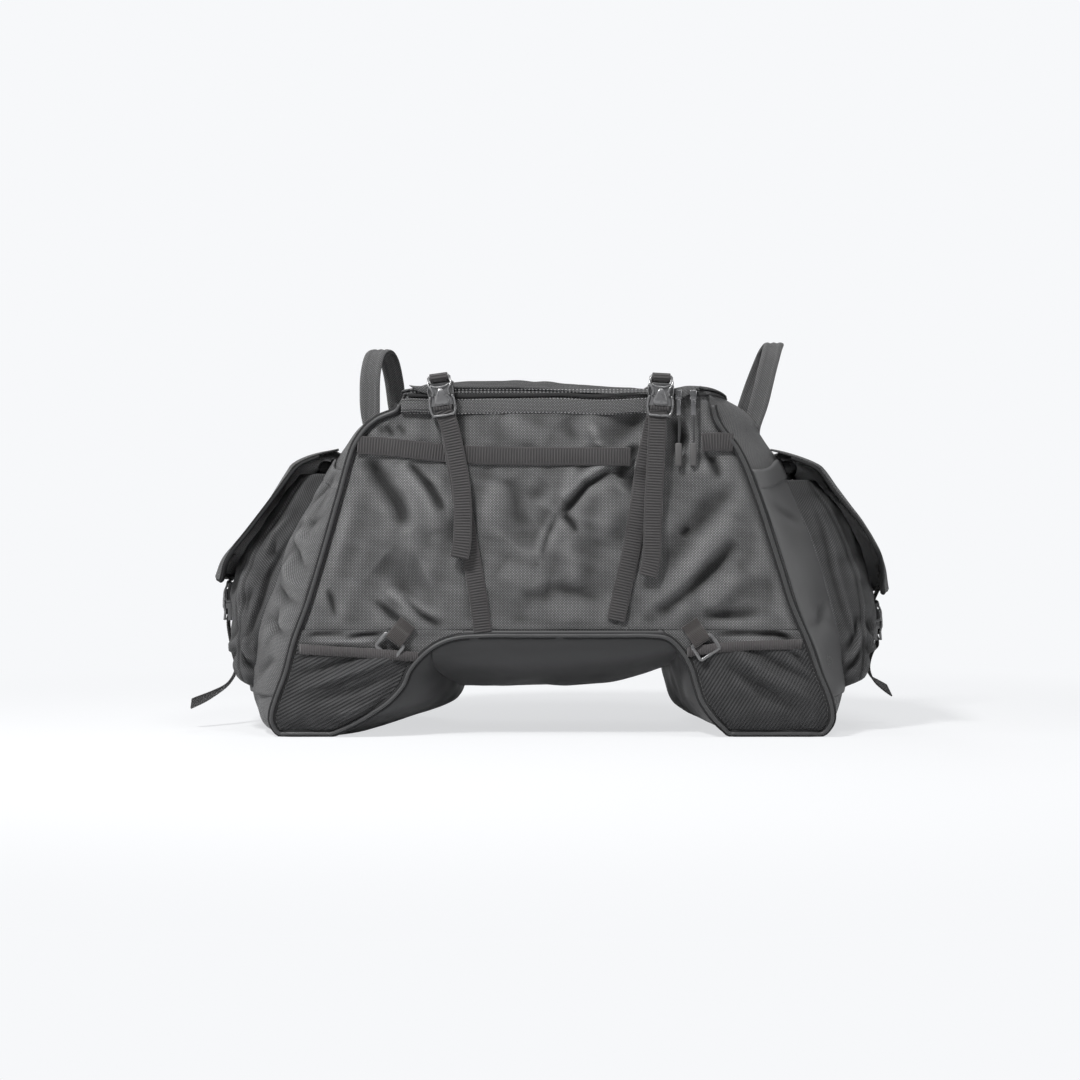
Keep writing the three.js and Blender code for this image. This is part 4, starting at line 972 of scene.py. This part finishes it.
def flap_faces(form, count_u, count_v):
    """The flap's inner face, from the seam to the tip and across it, and its outward directions."""
    profile = smooth_line([(x, 0, z) for x, z in form["flap"]], 2)
    steps = directions(profile)
    knots = np.arange(len(profile))
    even = np.linspace(0, len(profile) - 1, count_u)
    at, step = (np.stack([np.interp(even, knots, values[:, k]) for k in (0, 2)], axis=1)
                for values in (profile, steps))
    u = np.linspace(0, 1, count_u)[:, None]
    v = np.linspace(0, 1, count_v)[None]
    y = (114 - 50 * smooth(0.72, 1, u)) * (2 * v - 1)
    settle = smooth(0, 0.16, u)
    root = end_x(form, FLAP_SEAM, y) + 0.8
    drop = 11 * np.abs(2 * v - 1) ** 2.2 * settle + form["flap_slack"] * np.sin(np.pi * u)
    wave = settle * (1.1 * np.sin(9 * v + 4 * u) + 0.7 * np.sin(17 * v - 6 * u + form["side"]))
    out = np.stack([-step[:, 1], np.zeros(count_u), step[:, 0]], axis=1)[:, None]
    x = root + (at[:, :1] - root) * settle - drop
    z = FLAP_SEAM + (at[:, 1:] - FLAP_SEAM) * settle - drop / 4
    place = points_at(x, y, z) + out * wave[:, :, None]
    mirror = (form["side"], 1, 1)
    return place * mirror, np.broadcast_to(out, place.shape) * mirror


for form in SIDES:
    name = form["name"]
    side = form["side"]
    inner, outward = flap_faces(form, 70, 90)
    flap = cloth(name + "_flap_cloth", turned(inner + outward * 3.2, side > 0), 2.4, BALLISTIC,
                 name + "_flap")
    middle = inner + outward * 1.8
    edge = np.concatenate([middle[6:, 0], middle[-1, 1:], middle[-2:5:-1, -1]])
    edge = smooth_line(edge[::3], 3)
    out = unit(np.cross(directions(edge), (side * 0.6, 0, 0.8)))
    swept(name + "_flap_binding", edge, out, disc(1, 12) * (3.1, 1.9), BINDING, name + "_flap")


# Mesh pocket on the front of each leg. Coarse ribbed net cut on the bias, so that its ribs run
# obliquely, sewn in with the piping and closed at the top by a folded webbing hem.
def ribbed_net(name):
    n = Nodes(name, Roughness=0.7, Sheen_Weight=0.15, Specular_IOR_Level=0.3)
    place, across, along = n.flat_place()
    rib = n.math("SINE", n.times(across, 2 * math.pi / 0.0036))
    cross = n.math("SINE", n.times(along, 2 * math.pi / 0.0021))
    hole = n.times(n.ramp(rib, 1, 0, -1, 0.1), n.ramp(cross, 0, 1, -0.2, 0.6))
    height = n.math("SUBTRACT", n.times(rib, 0.5), hole)
    # The relief paints shade into the net's hollows and light onto its ridges, partly also wear.
    shade = n.times(n.ramp(rib, 0.62, 1.3, -1, 1), n.ramp(hole, 1, 0.35, 0, 1),
                    n.ramp(n.noise(place, 30, 4), 0.9, 1.1), n.relief(0.5),
                    n.ramp(n.noise(place, 1200, 2), 0.88, 1.12))
    return n.finish(n.tinted((0.023, 0.023, 0.024), shade), height, 0.0006)


def webbing_material(name, colour, pitch, ribs):
    """Woven tape. Ribs lie across it every few millimetres, and both edges have a plain selvedge."""
    n = Nodes(name, Roughness=0.72, Sheen_Weight=0.25, Specular_IOR_Level=0.3)
    place, across, along = n.flat_place()
    wave = n.math("SINE", n.times(along, 2 * math.pi / pitch))
    thread = n.math("SINE", n.times(across, 2 * math.pi / 0.0012))
    inside = n.ramp(n.math("ABSOLUTE", across), 1, 0, 0.0078, 0.0086)
    bump = n.times(n.math("ADD", wave, n.times(thread, 0.3)), inside)
    shade = n.times(n.ramp(n.times(wave, inside), 1 - ribs, 1 + ribs, -1, 1),
                    n.ramp(n.noise(place, 35, 4), 0.92, 1.08), n.ramp(n.noise(place, 1500, 2), 0.9, 1.1))
    return n.finish(n.tinted(colour, shade), bump, 0.0003)


NET = ribbed_net("ribbed_net")
WEBBING = webbing_material("ribbed_webbing", (0.030, 0.0280, 0.0285), 0.0031, 0.5)
TAB = webbing_material("tab_webbing", (0.032, 0.028, 0.027), 0.0016, 0.12)
HEM = webbing_material("hem_tape", (0.046, 0.042, 0.043), 0.002, 0.3)
LEFT["net_top"] = [(155, 94), (172, 96), (200, 98), (250, 101), (300, 104)]
RIGHT["net_top"] = [(140, 96), (160, 101), (190, 105), (225, 107), (300, 109)]
LEFT["net_folds"] = [([(285, 52), (235, 68), (172, 90)], 3.5, 7), ([(270, 40), (220, 52), (165, 74)], -3, 8),
                     ([(292, 66), (240, 82), (196, 98)], -2.5, 6), ([(250, 22), (215, 30), (178, 46)], 3, 7),
                     ([(262, 96), (280, 88), (296, 86)], -2, 4)]
RIGHT["net_folds"] = [
    ([(198, 100), (232, 74), (292, 40)], 4.5, 10), ([(190, 84), (225, 60), (280, 26)], -3.5, 9),
    ([(212, 104), (248, 84), (298, 58)], -2.5, 7), ([(262, 98), (282, 84), (296, 74)], -3, 5),
    ([(155, 98), (168, 84), (180, 74)], -3, 9),
]
for form, lean in ((LEFT, math.radians(-62)), (RIGHT, math.radians(32))):
    side = form["side"]
    name = form["name"]
    top_x, top_z = np.array(form["net_top"], float).T
    rows = []
    for share in np.linspace(0, 1, 60):
        across = np.linspace(0.0, 1.0, 110)
        z = 4 + share * 94
        for _ in range(2):
            low = form["inner_front"](z) + 3.5
            high = form["piping"](z) - 3.5
            x = low + (high - low) * across
            z = 4 + share * (np.interp(x, top_x, top_z) - 4)
        edge = np.minimum(np.minimum(x - low, high - x), z - 4)
        relief = (4 * smooth(0, 26, edge) + 1.3 * ripples(x, z, 60, 170 + side)
                  + 0.6 * ripples(x, z, 24, 180 + side))
        for line, depth, width in form["net_folds"]:
            relief = relief + 1.5 * depth * crease(x, z, line, width * 0.8, width * 0.6)
        relief = np.clip(relief, 0, 9) * smooth(0, 10, edge)
        rows.append(points_at(side * x, -half_depth(z) - 1.2 - relief, z))
    rows = turned(rows, side > 0)
    cut = rows[:, :, [0, 2]] * (side, 1)
    net = cloth(name + "_net_pocket", rows, 1.2, NET, name + "_mesh_pocket", cut)
    layer = net.data.uv_layers["cloth"].data
    flat = np.empty(len(layer) * 2)
    layer.foreach_get("uv", flat)
    bias = [[math.cos(lean), math.sin(lean)], [-math.sin(lean), math.cos(lean)]]
    layer.foreach_set("uv", (flat.reshape(-1, 2) @ np.array(bias)).ravel())
    swept(name + "_net_hem", smooth_line((rows[-1] + (0, -0.9, -3.5))[::9], 2.5), (0, 0, 1),
          [(-5.2, -0.5), (5.2, -0.5), (5.5, 0), (5.2, 0.5), (-5.2, 0.5), (-5.5, 0)], HEM,
          name + "_mesh_pocket")


# Handles. A padded strip of nylon, folded lengthways, with a groove along each of its two rows of
# stitching. It is bent into a loop and sewn to the shoulder of the bag at both ends.
LEFT["handle"] = [[-211, -60, 352], [-213, -52, 385], [-213, -40, 418], [-209, -20, 441], [-202, 4, 447],
                  [-196, 26, 438], [-191, 42, 412], [-189, 54, 385], [-188, 64, 367]]
RIGHT["handle"] = [[236, -60, 352], [245, -50, 385], [254, -38, 418], [263, -20, 447], [267, 0, 455],
                   [262, 20, 447], [251, 38, 418], [240, 50, 385], [231, 60, 360]]


def squared(count, across, up):
    """A circle pushed out towards a square, the more the lower its two powers."""
    circle = disc(1, count)
    return np.sign(circle) * np.abs(circle) ** (across, up)


profile = squared(48, 0.55, 0.6) * (12, 3.1)
profile[:, 1] *= 1 - 0.6 * np.exp(-(np.abs(profile[:, 0]) - 4.6) ** 2)
for form in SIDES:
    name = form["name"]
    points = [np.array(form["handle"][0]) - (0, 0, 12)] + [np.array(p) for p in form["handle"]]
    line = smooth_line(points + [points[-1] - (0, 0, 12)], 2.5)
    share = np.linspace(0, 1, len(line))
    narrow = 1 - 0.34 * np.exp(-(share / 0.09) ** 2) - 0.3 * np.exp(-((1 - share) / 0.12) ** 2)
    twist = 0.25 * np.sin(np.pi * share * 2)
    across = points_at(np.cos(twist), np.sin(twist), 0)
    section = profile * np.stack([narrow, 1 + 0.06 * np.sin(line[:, 2] / 4)], axis=1)[:, None]
    handle = swept(name + "_handle_strap", line, across, section, BALLISTIC, name + "_handle")


# Cross webbing. Ribbed polyamide tape, stitched level across the front and back panels. On the front it
# stops short of the right strap, and a stub of it comes out from under the folds beside the piping.
TAPE = np.array([(-10, -0.75), (-9.4, -0.95), (9.4, -0.95), (10, -0.75), (10.2, 0), (10, 0.75), (9.4, 0.95),
                 (-9.4, 0.95), (-10, 0.75), (-10.2, 0)])


def ribs_on(line, pitch=3.1, depth=0.08):
    """The tape's section at each point of its line, thicker at each rib."""
    swell = 1 + depth * np.sin(2 * np.pi * run_of(line) / pitch)
    return TAPE * np.stack([np.ones_like(swell), swell], axis=1)[:, None]


def drape(x, z, gap, width=20, face=-1):
    """How far forward a taut tape lies over the folds of a panel."""
    surface = front_y if face < 0 else back_y
    reach = [face * surface(x + dx, np.clip(z + dz, SEAM, ZIP)) for dx in (-width / 2, 0, width / 2)
             for dz in (-8, 0, 8)]
    over = np.max(reach, axis=0)
    soft = np.convolve(np.pad(over, 9, mode="edge"), np.ones(19) / 19, mode="valid")
    return face * (np.maximum(soft, over - 0.6) + gap)


def tape(name, x, z, y, node, body="bag", ribbed=0.08):
    line = points_at(x, y, z)
    across = unit(np.cross(directions(line), (0, 1, 0)))
    swept(name, line, across, ribs_on(line, depth=ribbed), WEBBING, node, body)


def on_line(points):
    """Even places on the front panel through pixels of the photograph."""
    line = smooth_line([(x, 0, z) for x, z in on_front(points)], 0.8)
    return line[:, 0], line[:, 2]


x, z = on_line([(357, 445), (376, 446), (410, 449.5), (445, 453.5), (500, 456), (560, 456.5), (630, 457)])
tape("front_cross_tape", x, z, drape(x, z, 1.3), "front_cross_webbing")
x, z = on_line([(701, 443), (712, 442), (722, 442), (732, 443)])
hump = 2.2 * np.sin(np.pi * np.linspace(0, 1, len(x)))
tape("front_stub_tape", x, z, drape(x, z, 1.3) - hump, "front_cross_stub")
x = np.linspace(-206, 183, 480)
z = np.full_like(x, 314)
tape("back_cross_tape", x, z, drape(x, z, 1.3, face=1), "back_cross_webbing")


# Compression straps. One tape on each side is stitched into the seam at the arch and runs up under the
# buckle's plug. Its loose tail hangs from the plug's bar, with its end folded over and sewn.
LEFT["strap"] = [(482, 632), (478, 600), (471, 560), (464, 520), (458, 480), (451, 440), (446, 414)]
RIGHT["strap"] = [(615, 620), (621, 592), (630, 552), (637, 512), (643, 470), (650, 436), (655, 414)]
LEFT["tail"] = [(443, 411), (448, 423), (456, 458), (461, 488), (462.5, 520), (461.5, 544), (459, 558)]
RIGHT["tail"] = [(656, 411), (656, 424), (654, 470), (652, 505), (651, 540), (650, 560), (646, 576)]
TAIL_Y = -178.1
for form in SIDES:
    name = form["name"]
    x, z = on_line(form["strap"])
    level = drape(x, z, 1.3)
    over = 2.6 * np.exp(-np.maximum(0, np.abs(z - 314) - 11) ** 2 / 60)
    tape(name + "_strap_tape", x, z, level - over, name + "_front_strap")
    x, z = on_line(form["tail"])
    share = np.linspace(0, 1, len(x))
    y = TAIL_Y + 2.2 * np.sin(np.pi * share) * smooth(0, 0.3, share)
    body = name + "_front_plug_body"
    tape(name + "_tail_tape", x, z, y, name + "_front_tail", body)
    last = slice(-22, None)
    tape(name + "_tail_hem", x[last], z[last], y[last] + 1.7, name + "_front_tail", body, ribbed=0.05)


# Buckles. Side release buckles of glossy moulded plastic: a socket with an open ladder above and a
# window over each prong, and a plug whose raised tongue tapers up between them.
def moulded(name, colour, gloss):
    n = Nodes(name, Roughness=gloss, Specular_IOR_Level=0.9, Coat_Weight=0.8, Coat_Roughness=0.16)
    place = n.object_place()
    fine, soft = n.noise(place, 2600, 2), n.noise(place, 120, 3)
    shade = n.times(n.ramp(fine, 0.85, 1.15), n.ramp(soft, 0.85, 1.15))
    return n.finish(n.tinted(colour, shade), fine, 0.00004, n.ramp(soft, gloss - 0.08, gloss + 0.1))


# One plastic in two copies: a lighter one on the buckles' front bars and tongue as painted light, and a darker
# one on the shells behind them as painted shade in the recesses.
PLASTIC = moulded("moulded_plastic", (0.075, 0.075, 0.077), 0.3)
SHADED_PLASTIC = moulded("moulded_plastic_painted_shade", (0.014, 0.014, 0.015), 0.4)


def softened(node, name, body, width=0.55):
    """A copy of a hard CAD piece with its moulded edges rounded."""
    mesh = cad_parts[node].data.copy()
    mesh.name = name
    shape = bmesh.new()
    shape.from_mesh(mesh)
    bmesh.ops.remove_doubles(shape, verts=shape.verts, dist=1e-6)
    bmesh.ops.dissolve_limit(shape, angle_limit=0.02, verts=shape.verts, edges=shape.edges)
    shape.to_mesh(mesh)
    shape.free()
    piece = bpy.data.objects.new(name, mesh)
    scene.collection.objects.link(piece)
    rounded = piece.modifiers.new("rounded", "BEVEL")
    rounded.width = width * 0.001
    rounded.segments = 2
    rounded.limit_method = "ANGLE"
    rounded.angle_limit = math.radians(35)
    bpy.context.view_layer.update()
    done = bpy.data.meshes.new_from_object(piece.evaluated_get(bpy.context.evaluated_depsgraph_get()))
    piece.modifiers.clear()
    piece.data = done
    done.materials.clear()
    done.materials.append(PLASTIC)
    done.shade_smooth()
    done.set_sharp_from_angle(angle=math.radians(40))
    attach(piece, body)
    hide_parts(node)
    return piece


def buckle_face(name, turn, place, plug_body):
    """What shows of a buckle from the front, made in its own frame: bars with bright edges, the tapered
    tongue, the raised waist and skirt, and the tail's turn round its bar."""
    turn = np.array(turn)
    carriers = {name + "_socket": "bag", name + "_plug": plug_body}
    socket, plug = carriers

    def bar(part, points, wide, thick, node):
        line = smooth_line(points, 0.7) @ turn.T + place
        across = np.cross(directions(line), turn @ (0, -1, 0))
        swept(f"{name}_{part}", line, across, squared(16, 0.7, 0.7) * (wide / 2, thick / 2), PLASTIC,
              node, carriers[node])

    def plate(part, rings, node):
        rings = np.array(rings) @ turn.T + place
        closed(f"{name}_{part}", rings, PLASTIC, node, carriers[node])

    for edge, s in (("a", -1), ("b", 1)):
        bar("post_" + edge, [(s * 10.4, -5.4, 23), (s * 12, -6.6, 18), (s * 12.6, -8.6, 13),
                             (s * 10, -9.8, 8.6), (s * 8.4, -10, 4), (s * 9.6, -10, 0.4)], 2.6, 2.6, socket)
        bar("cheek_" + edge, [(s * 13.2, -8, 10), (s * 14.2, -8.4, 6), (s * 13.6, -8.6, 1)], 1.5, 2.2, socket)
        bar("side_" + edge, [(s * 12, -9.6, 0), (s * 13.6, -9.4, -5), (s * 14, -8, -12), (s * 13, -8.6, -18),
                             (s * 11, -9.2, -21.4)], 2.6, 3, plug)
    bar("brow", [(-10.6, -9, 12.6), (-6, -9.8, 10.4), (0, -10.2, 9.6), (6, -9.8, 10.4), (10.6, -9, 12.6)],
        2, 2, socket)
    bar("foot_bar", [(-11.4, -9.4, -21.4), (0, -9.9, -21.9), (11.4, -9.4, -21.4)], 2.3, 2.6, plug)
    rings = []
    for t in np.linspace(0, 1, 14):
        half = 9.4 * (1 - 0.72 * t) * (1 - 0.35 * abs(2 * t - 1) ** 8)
        rise = -4.4 * (1 - 0.35 * abs(2 * t - 1) ** 4) / 2
        section = squared(28, 0.5, 0.5)
        rings.append(points_at(half * section[:, 0], rise * section[:, 1] + rise - 8.4, 18.2 * t - 9.8))
    plate("tongue", rings, plug)
    for part, low, high, widths, node in (("waist", 0.4, 11, [10.4, 8.8, 8.4, 10, 12.2], socket),
                                          ("skirt", -10.6, 0.2, [12.8, 12.6, 12.2, 11.6, 10.6], plug)):
        section = squared(32, 0.3, 0.5)
        plate(part, [points_at(np.interp(t, np.linspace(0, 1, 5), widths) * section[:, 0],
                               1.5 * section[:, 1] - 7.9, low + t * (high - low))
                     for t in np.linspace(0, 1, 16)], node)
    line = np.array([(x, -8.3, -13.2) for x in (-10.4, 0, 10.4)]) @ turn.T + place
    swept(name + "_plug_wrap", smooth_line(line, 0.8), turn @ (0, 0, 1), disc(1, 14) * (3, 1.6), WEBBING,
          plug, plug_body)


BUCKLE_Y = -170.5
LEFT["buckle"], LEFT["buckle_tilt"] = (-123, BUCKLE_Y, 381), 8
RIGHT["buckle"], RIGHT["buckle_tilt"] = (120.7, BUCKLE_Y, 381), -3
LEFT["pouch_buckle"] = (380.6, 148)
RIGHT["pouch_buckle"] = (384.6, 124)
for form in SIDES:
    name, side = form["name"], form["side"]
    lean = form["buckle_lean"] = Matrix.Rotation(math.radians(-form["buckle_tilt"]), 3, "Y")
    outward = Matrix.Rotation(math.radians(90 * side), 3, "Z")
    out, height = form["pouch_buckle"]
    for where, turn, place in (("front", lean, form["buckle"]), ("pouch", outward, (side * out, 0, height))):
        plug_body = f"{name}_{where}_plug_body"
        for half, carrier in (("socket", "bag"), ("plug", plug_body)):
            shell = softened(f"{name}_{where}_{half}", f"{name}_{where}_{half}_shell", carrier)
            # The hidden shell is painted darker, as painted shade in the buckle's recesses.
            shell.data.materials[0] = SHADED_PLASTIC
            points = np.empty(len(shell.data.vertices) * 3)
            shell.data.vertices.foreach_get("co", points)
            points = (points.reshape(-1, 3) * 1000 - (SHIFT, 0, 0) - place) @ np.array(turn)
            points[:, 1] *= np.where(points[:, 1] < -6, 0.76, 1)
            points = points @ np.array(turn).T + place
            shell.data.vertices.foreach_set("co", ((points + (SHIFT, 0, 0)) * 0.001).ravel())
        buckle_face(f"{name}_{where}", turn, place, plug_body)


# Lid straps. Each loops round the bar of its socket, is sewn to itself, and runs back over the lid
# to be stitched down at its rear edge.
turn = np.radians(np.linspace(320, 90, 12))
LOOP_Y, LOOP_Z = 4.2 * np.cos(turn) - 2.5, 20.8 + 4.2 * np.sin(turn)


def lid_z(x, y):
    """Height of the lid's cloth at a place on it."""
    form = LEFT if x < LID_MIDDLE else RIGHT
    low, high = 0.02, 1.0
    for _ in range(24):
        share = (low + high) / 2
        reach = float(end_x(form, ZIP, y / share)) - form["side"] * LID_MIDDLE
        if abs(y) < share * HALF_DEEP and abs(x - LID_MIDDLE) < share * reach:
            high = share
        else:
            low = share
    inner = smooth(1, 0.9, high)
    px, py = np.array([x]), np.array([float(y)])
    return float((lid_height(high) - lid_sag(px, py) + inner * (1.5 * ripples(px, py, 130, 72)
                                                                + 0.7 * ripples(px, py, 45, 73)))[0])


for form in SIDES:
    name = form["name"]
    x = form["buckle"][0]
    lean = np.array(form["buckle_lean"])
    loop = points_at(0, LOOP_Y, LOOP_Z) @ lean.T + form["buckle"]
    rest = [(x, y, max(lid_z(x + dx, y) for dx in (-8, 0, 8)) + 1.6)
            for y in (-150, -138, -120, -90, -50, 0, 50, 90, 120, 138, 150)]
    line = smooth_line([*loop, *rest], 0.9)
    share = smooth(-168, -150, line[:, 1])[:, None]
    across = lean @ (1, 0, 0) * (1 - share) + np.array([[1, 0, 0]]) * share
    swept(name + "_lid_tape", line, unit(across), ribs_on(line), WEBBING, name + "_lid_strap")


# Straps of the end pouches: up from the pouch's foot behind the plug, down from under the flap round
# the socket's bar, and a loose tail that hangs from the plug and kicks out at its tip.
LEFT["pouch_tail"] = [[381.5, 0, 88], [377, -3, 68], [384, -14, 51], [402, -34, 38], [422, -54, 29]]
RIGHT["pouch_tail"] = [[385.5, 0, 88], [381, 2, 68], [386, 4, 55], [396, 6, 47], [407, 7, 40]]
for form in SIDES:
    name, side = form["name"], form["side"]
    out, height = form["pouch_buckle"]
    reach_at = through(form["pouch"])
    heights = np.linspace(62, height - 12.6, 12)
    line = smooth_line([(side * (float(reach_at(h)) + 1.4), 0, h) for h in heights], 0.9)
    swept(name + "_pouch_tape", line, (0, side, 0), ribs_on(line), WEBBING, name + "_pouch_strap")
    loop = points_at(side * (out - LOOP_Y), 0, height + LOOP_Z)
    flap_line = smooth_line([(x, 0, z) for x, z in form["flap"]], 2)
    tip = flap_line[-1, 2]
    under = []
    for rise in (4, 12, 20, 28):
        at = flap_line[np.argmin(np.abs(flap_line[:, 2] - tip - rise))]
        under.append((side * (at[0] - 2.2), 0, tip + rise))
    line = smooth_line([*loop, *under], 0.9)
    swept(name + "_flap_tape", line, (0, side, 0), ribs_on(line), WEBBING, name + "_flap_strap")
    hung = [(out + 6.2, 0, height - 18.4), (out + 6.2, 0, height - 29.4)] + form["pouch_tail"]
    line = smooth_line(np.array(hung) * (side, 1, 1), 0.9)
    turn = 0.7 * smooth(0.45, 1, np.linspace(0, 1, len(line)))
    across = unit(points_at(-0.3 * side * turn, side * np.cos(turn), np.sin(turn)))
    swept(name + "_pouch_tail_tape", line, across, ribs_on(line), WEBBING, name + "_pouch_tail",
          name + "_pouch_plug_body")


# Anchor rings. Moulded slotted rings, each held to the lower seam by a folded tab of tape, front and
# back, for tying the bag down to the bike.
LEFT["ring"] = (-175, 110, -38)
RIGHT["ring"] = (166.5, 109, 34)
RING_Y = -170.1
for form in SIDES:
    name = form["name"]
    rx, rz, tilt = form["ring"]
    for face, back in (("front", False), ("back", True)):
        softened(f"{name}_{face}_ring", f"{name}_{face}_ring_moulding", f"{name}_{face}_ring_body", 0.9)
        points = [(3.0, 24), (3.0, 12), (3.0, 1.5)]
        points += [(3.0 * math.cos(t), -3.0 * math.sin(t)) for t in np.linspace(0, np.pi, 9)]
        points += [(-2.6, 4), (-1.2, 10), (1.3, 15), (1.3, 24)]
        lean = np.array(Matrix.Rotation(math.radians(tilt if back else -tilt), 3, "Y"))
        spin = np.array(Matrix.Rotation(math.pi if back else 0, 3, "Z"))
        place = (-rx if back else rx, RING_Y, rz)
        line = (smooth_line([(0, y, z) for y, z in points], 0.8) @ lean.T + place) @ spin.T
        across = spin @ lean @ (1, 0, 0)
        swept(f"{name}_{face}_tab_tape", line, across, ribs_on(line, depth=0), TAB,
              f"{name}_{face}_tab")


# Zip. A coil zip between the lid's edge and the front panel, above a stitched band of nylon. The band
# ends at the right buckle, and the zip runs on beyond it.
METAL = moulded("blackened_metal", (0.16, 0.16, 0.165), 0.28)
METAL.node_tree.nodes["Principled BSDF"].inputs["Metallic"].default_value = 0.85
GRIP = plain("pull_grip_rubber", (0.062, 0.06, 0.06), 0.6, 1500, 0.0001)
ZIP_Y = -166.6
x = np.linspace(-160, 172, 1000)
z = 383 + 1.2 * np.sin(x / 60) - 2.4 * np.exp(-((x - 52) / 26) ** 2)
coil = np.array([(-3.4, -0.5), (-1, -0.9), (1, -0.9), (3.4, -0.5), (3.4, 0.5), (1, 0.9), (-1, 0.9),
                 (-3.4, 0.5)])
teeth = np.stack([np.full_like(x, 0.62), 0.8 + 0.35 * np.sin(x * 2 * np.pi / 1.6)], axis=1)
swept("zip_coil", points_at(x, ZIP_Y, z), (0, 0, 1), coil * teeth[:, None], GROOVE, "zip_chain")
x = np.linspace(-158, 128, 400)
z = 371.5 + 1.2 * np.sin(x / 60 + 0.3) - 3 * np.exp(-((x - 60) / 40) ** 2)
swept("zip_tape_band", points_at(x, drape(x, z, 1.0, 8), z), (0, 0, -1), TAPE * (0.75, 0.6),
      BALLISTIC, "zip_band")
for row, rise, out in (("upper", 7.6, 0.4), ("lower", -8.2, 1.0)):
    line = points_at(x, drape(x, np.minimum(z + rise, 381), 1.2, 8) - out, z + rise)
    stitches("zip_stitches_" + row, line[::16], "zip_band")
for row, height in (("a", 386.2), ("b", 388.8)):
    stitches("lid_stitches_" + row, points_at(np.linspace(-157, 164, 60), ZIP_Y, height), "lid_panel")


# Folded corners of the lid and the folded end of the zip's band. They are pinched between the strap
# and the zip's last stitches, so that they stand out beside the buckles.
LEFT["corner"] = [(-132, -166.5, 388), (-144, -168, 389), (-153, -169, 391), (-159, -169, 393.6)]
RIGHT["corner"] = [(134, -167, 382), (147, -169, 385.5), (158, -169.5, 389), (166.5, -169, 392.6)]
for form, tall in ((LEFT, 5), (RIGHT, 7)):
    line = smooth_line(form["corner"], 1)
    share = np.linspace(0, 1, len(line))
    half = np.stack([tall * (1 - share ** 1.6) + 0.3, 1.1 + 0.5 * (1 - share)], axis=1)
    swept(form["name"] + "_lid_corner", line, (0, 0, 1), disc(1, 20) * half[:, None], BALLISTIC,
          "lid_panel")
ridges = squared(60, 0.4, 0.4) * (7.4, 2.4)
ridges[:, 1] *= 1 + 0.22 * np.cos(7 * np.linspace(0, 2 * math.pi, 60, endpoint=False))
end = [(-168, -167, 371), (-156, -168.4, 371.6), (-144, -168.4, 371.2), (-133, -167.4, 370.6)]
swept("zip_band_fold", smooth_line(end, 1), (0, 0, 1), ridges, BALLISTIC, "zip_band")


# Sliders and pulls of the zip, on the free stretch of it beside the right buckle. Each slider carries
# a flat metal tab, a cord doubled through it, and a moulded grip that closes the cord's ends.
for form in SIDES:
    name = form["name"]
    pull = name + "_pull"
    slider = softened(name + "_slider", name + "_slider_body_shell", name + "_slider_body", 0.9)
    slider.data.materials[0] = METAL
    tab = softened(pull + "_tab", pull + "_tab_plate", pull, 0.45)
    tab.data.materials[0] = METAL
    low, high = (corner * 1000 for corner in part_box(pull + "_cord"))
    middle = (low + high) / 2 - Vector((SHIFT, 0, 0))
    share = np.linspace(0, 1, 40)
    for strand, shift in (("a", -0.75), ("b", 0.75)):
        line = points_at(middle.x + shift * np.sin(np.pi * share) ** 0.5 + 0.6 * np.sin(np.pi * share),
                         middle.y + 0.3 * shift, high.z + 1.5 + (low.z - high.z - 2.5) * share)
        swept(f"{pull}_cord_{strand}", line, (1, 0, 0), disc(0.75, 8), TRIM, pull + "_cord", pull)
    grip = softened(pull + "_grip", pull + "_grip_moulding", pull, 1.6)
    grip.data.materials[0] = GRIP
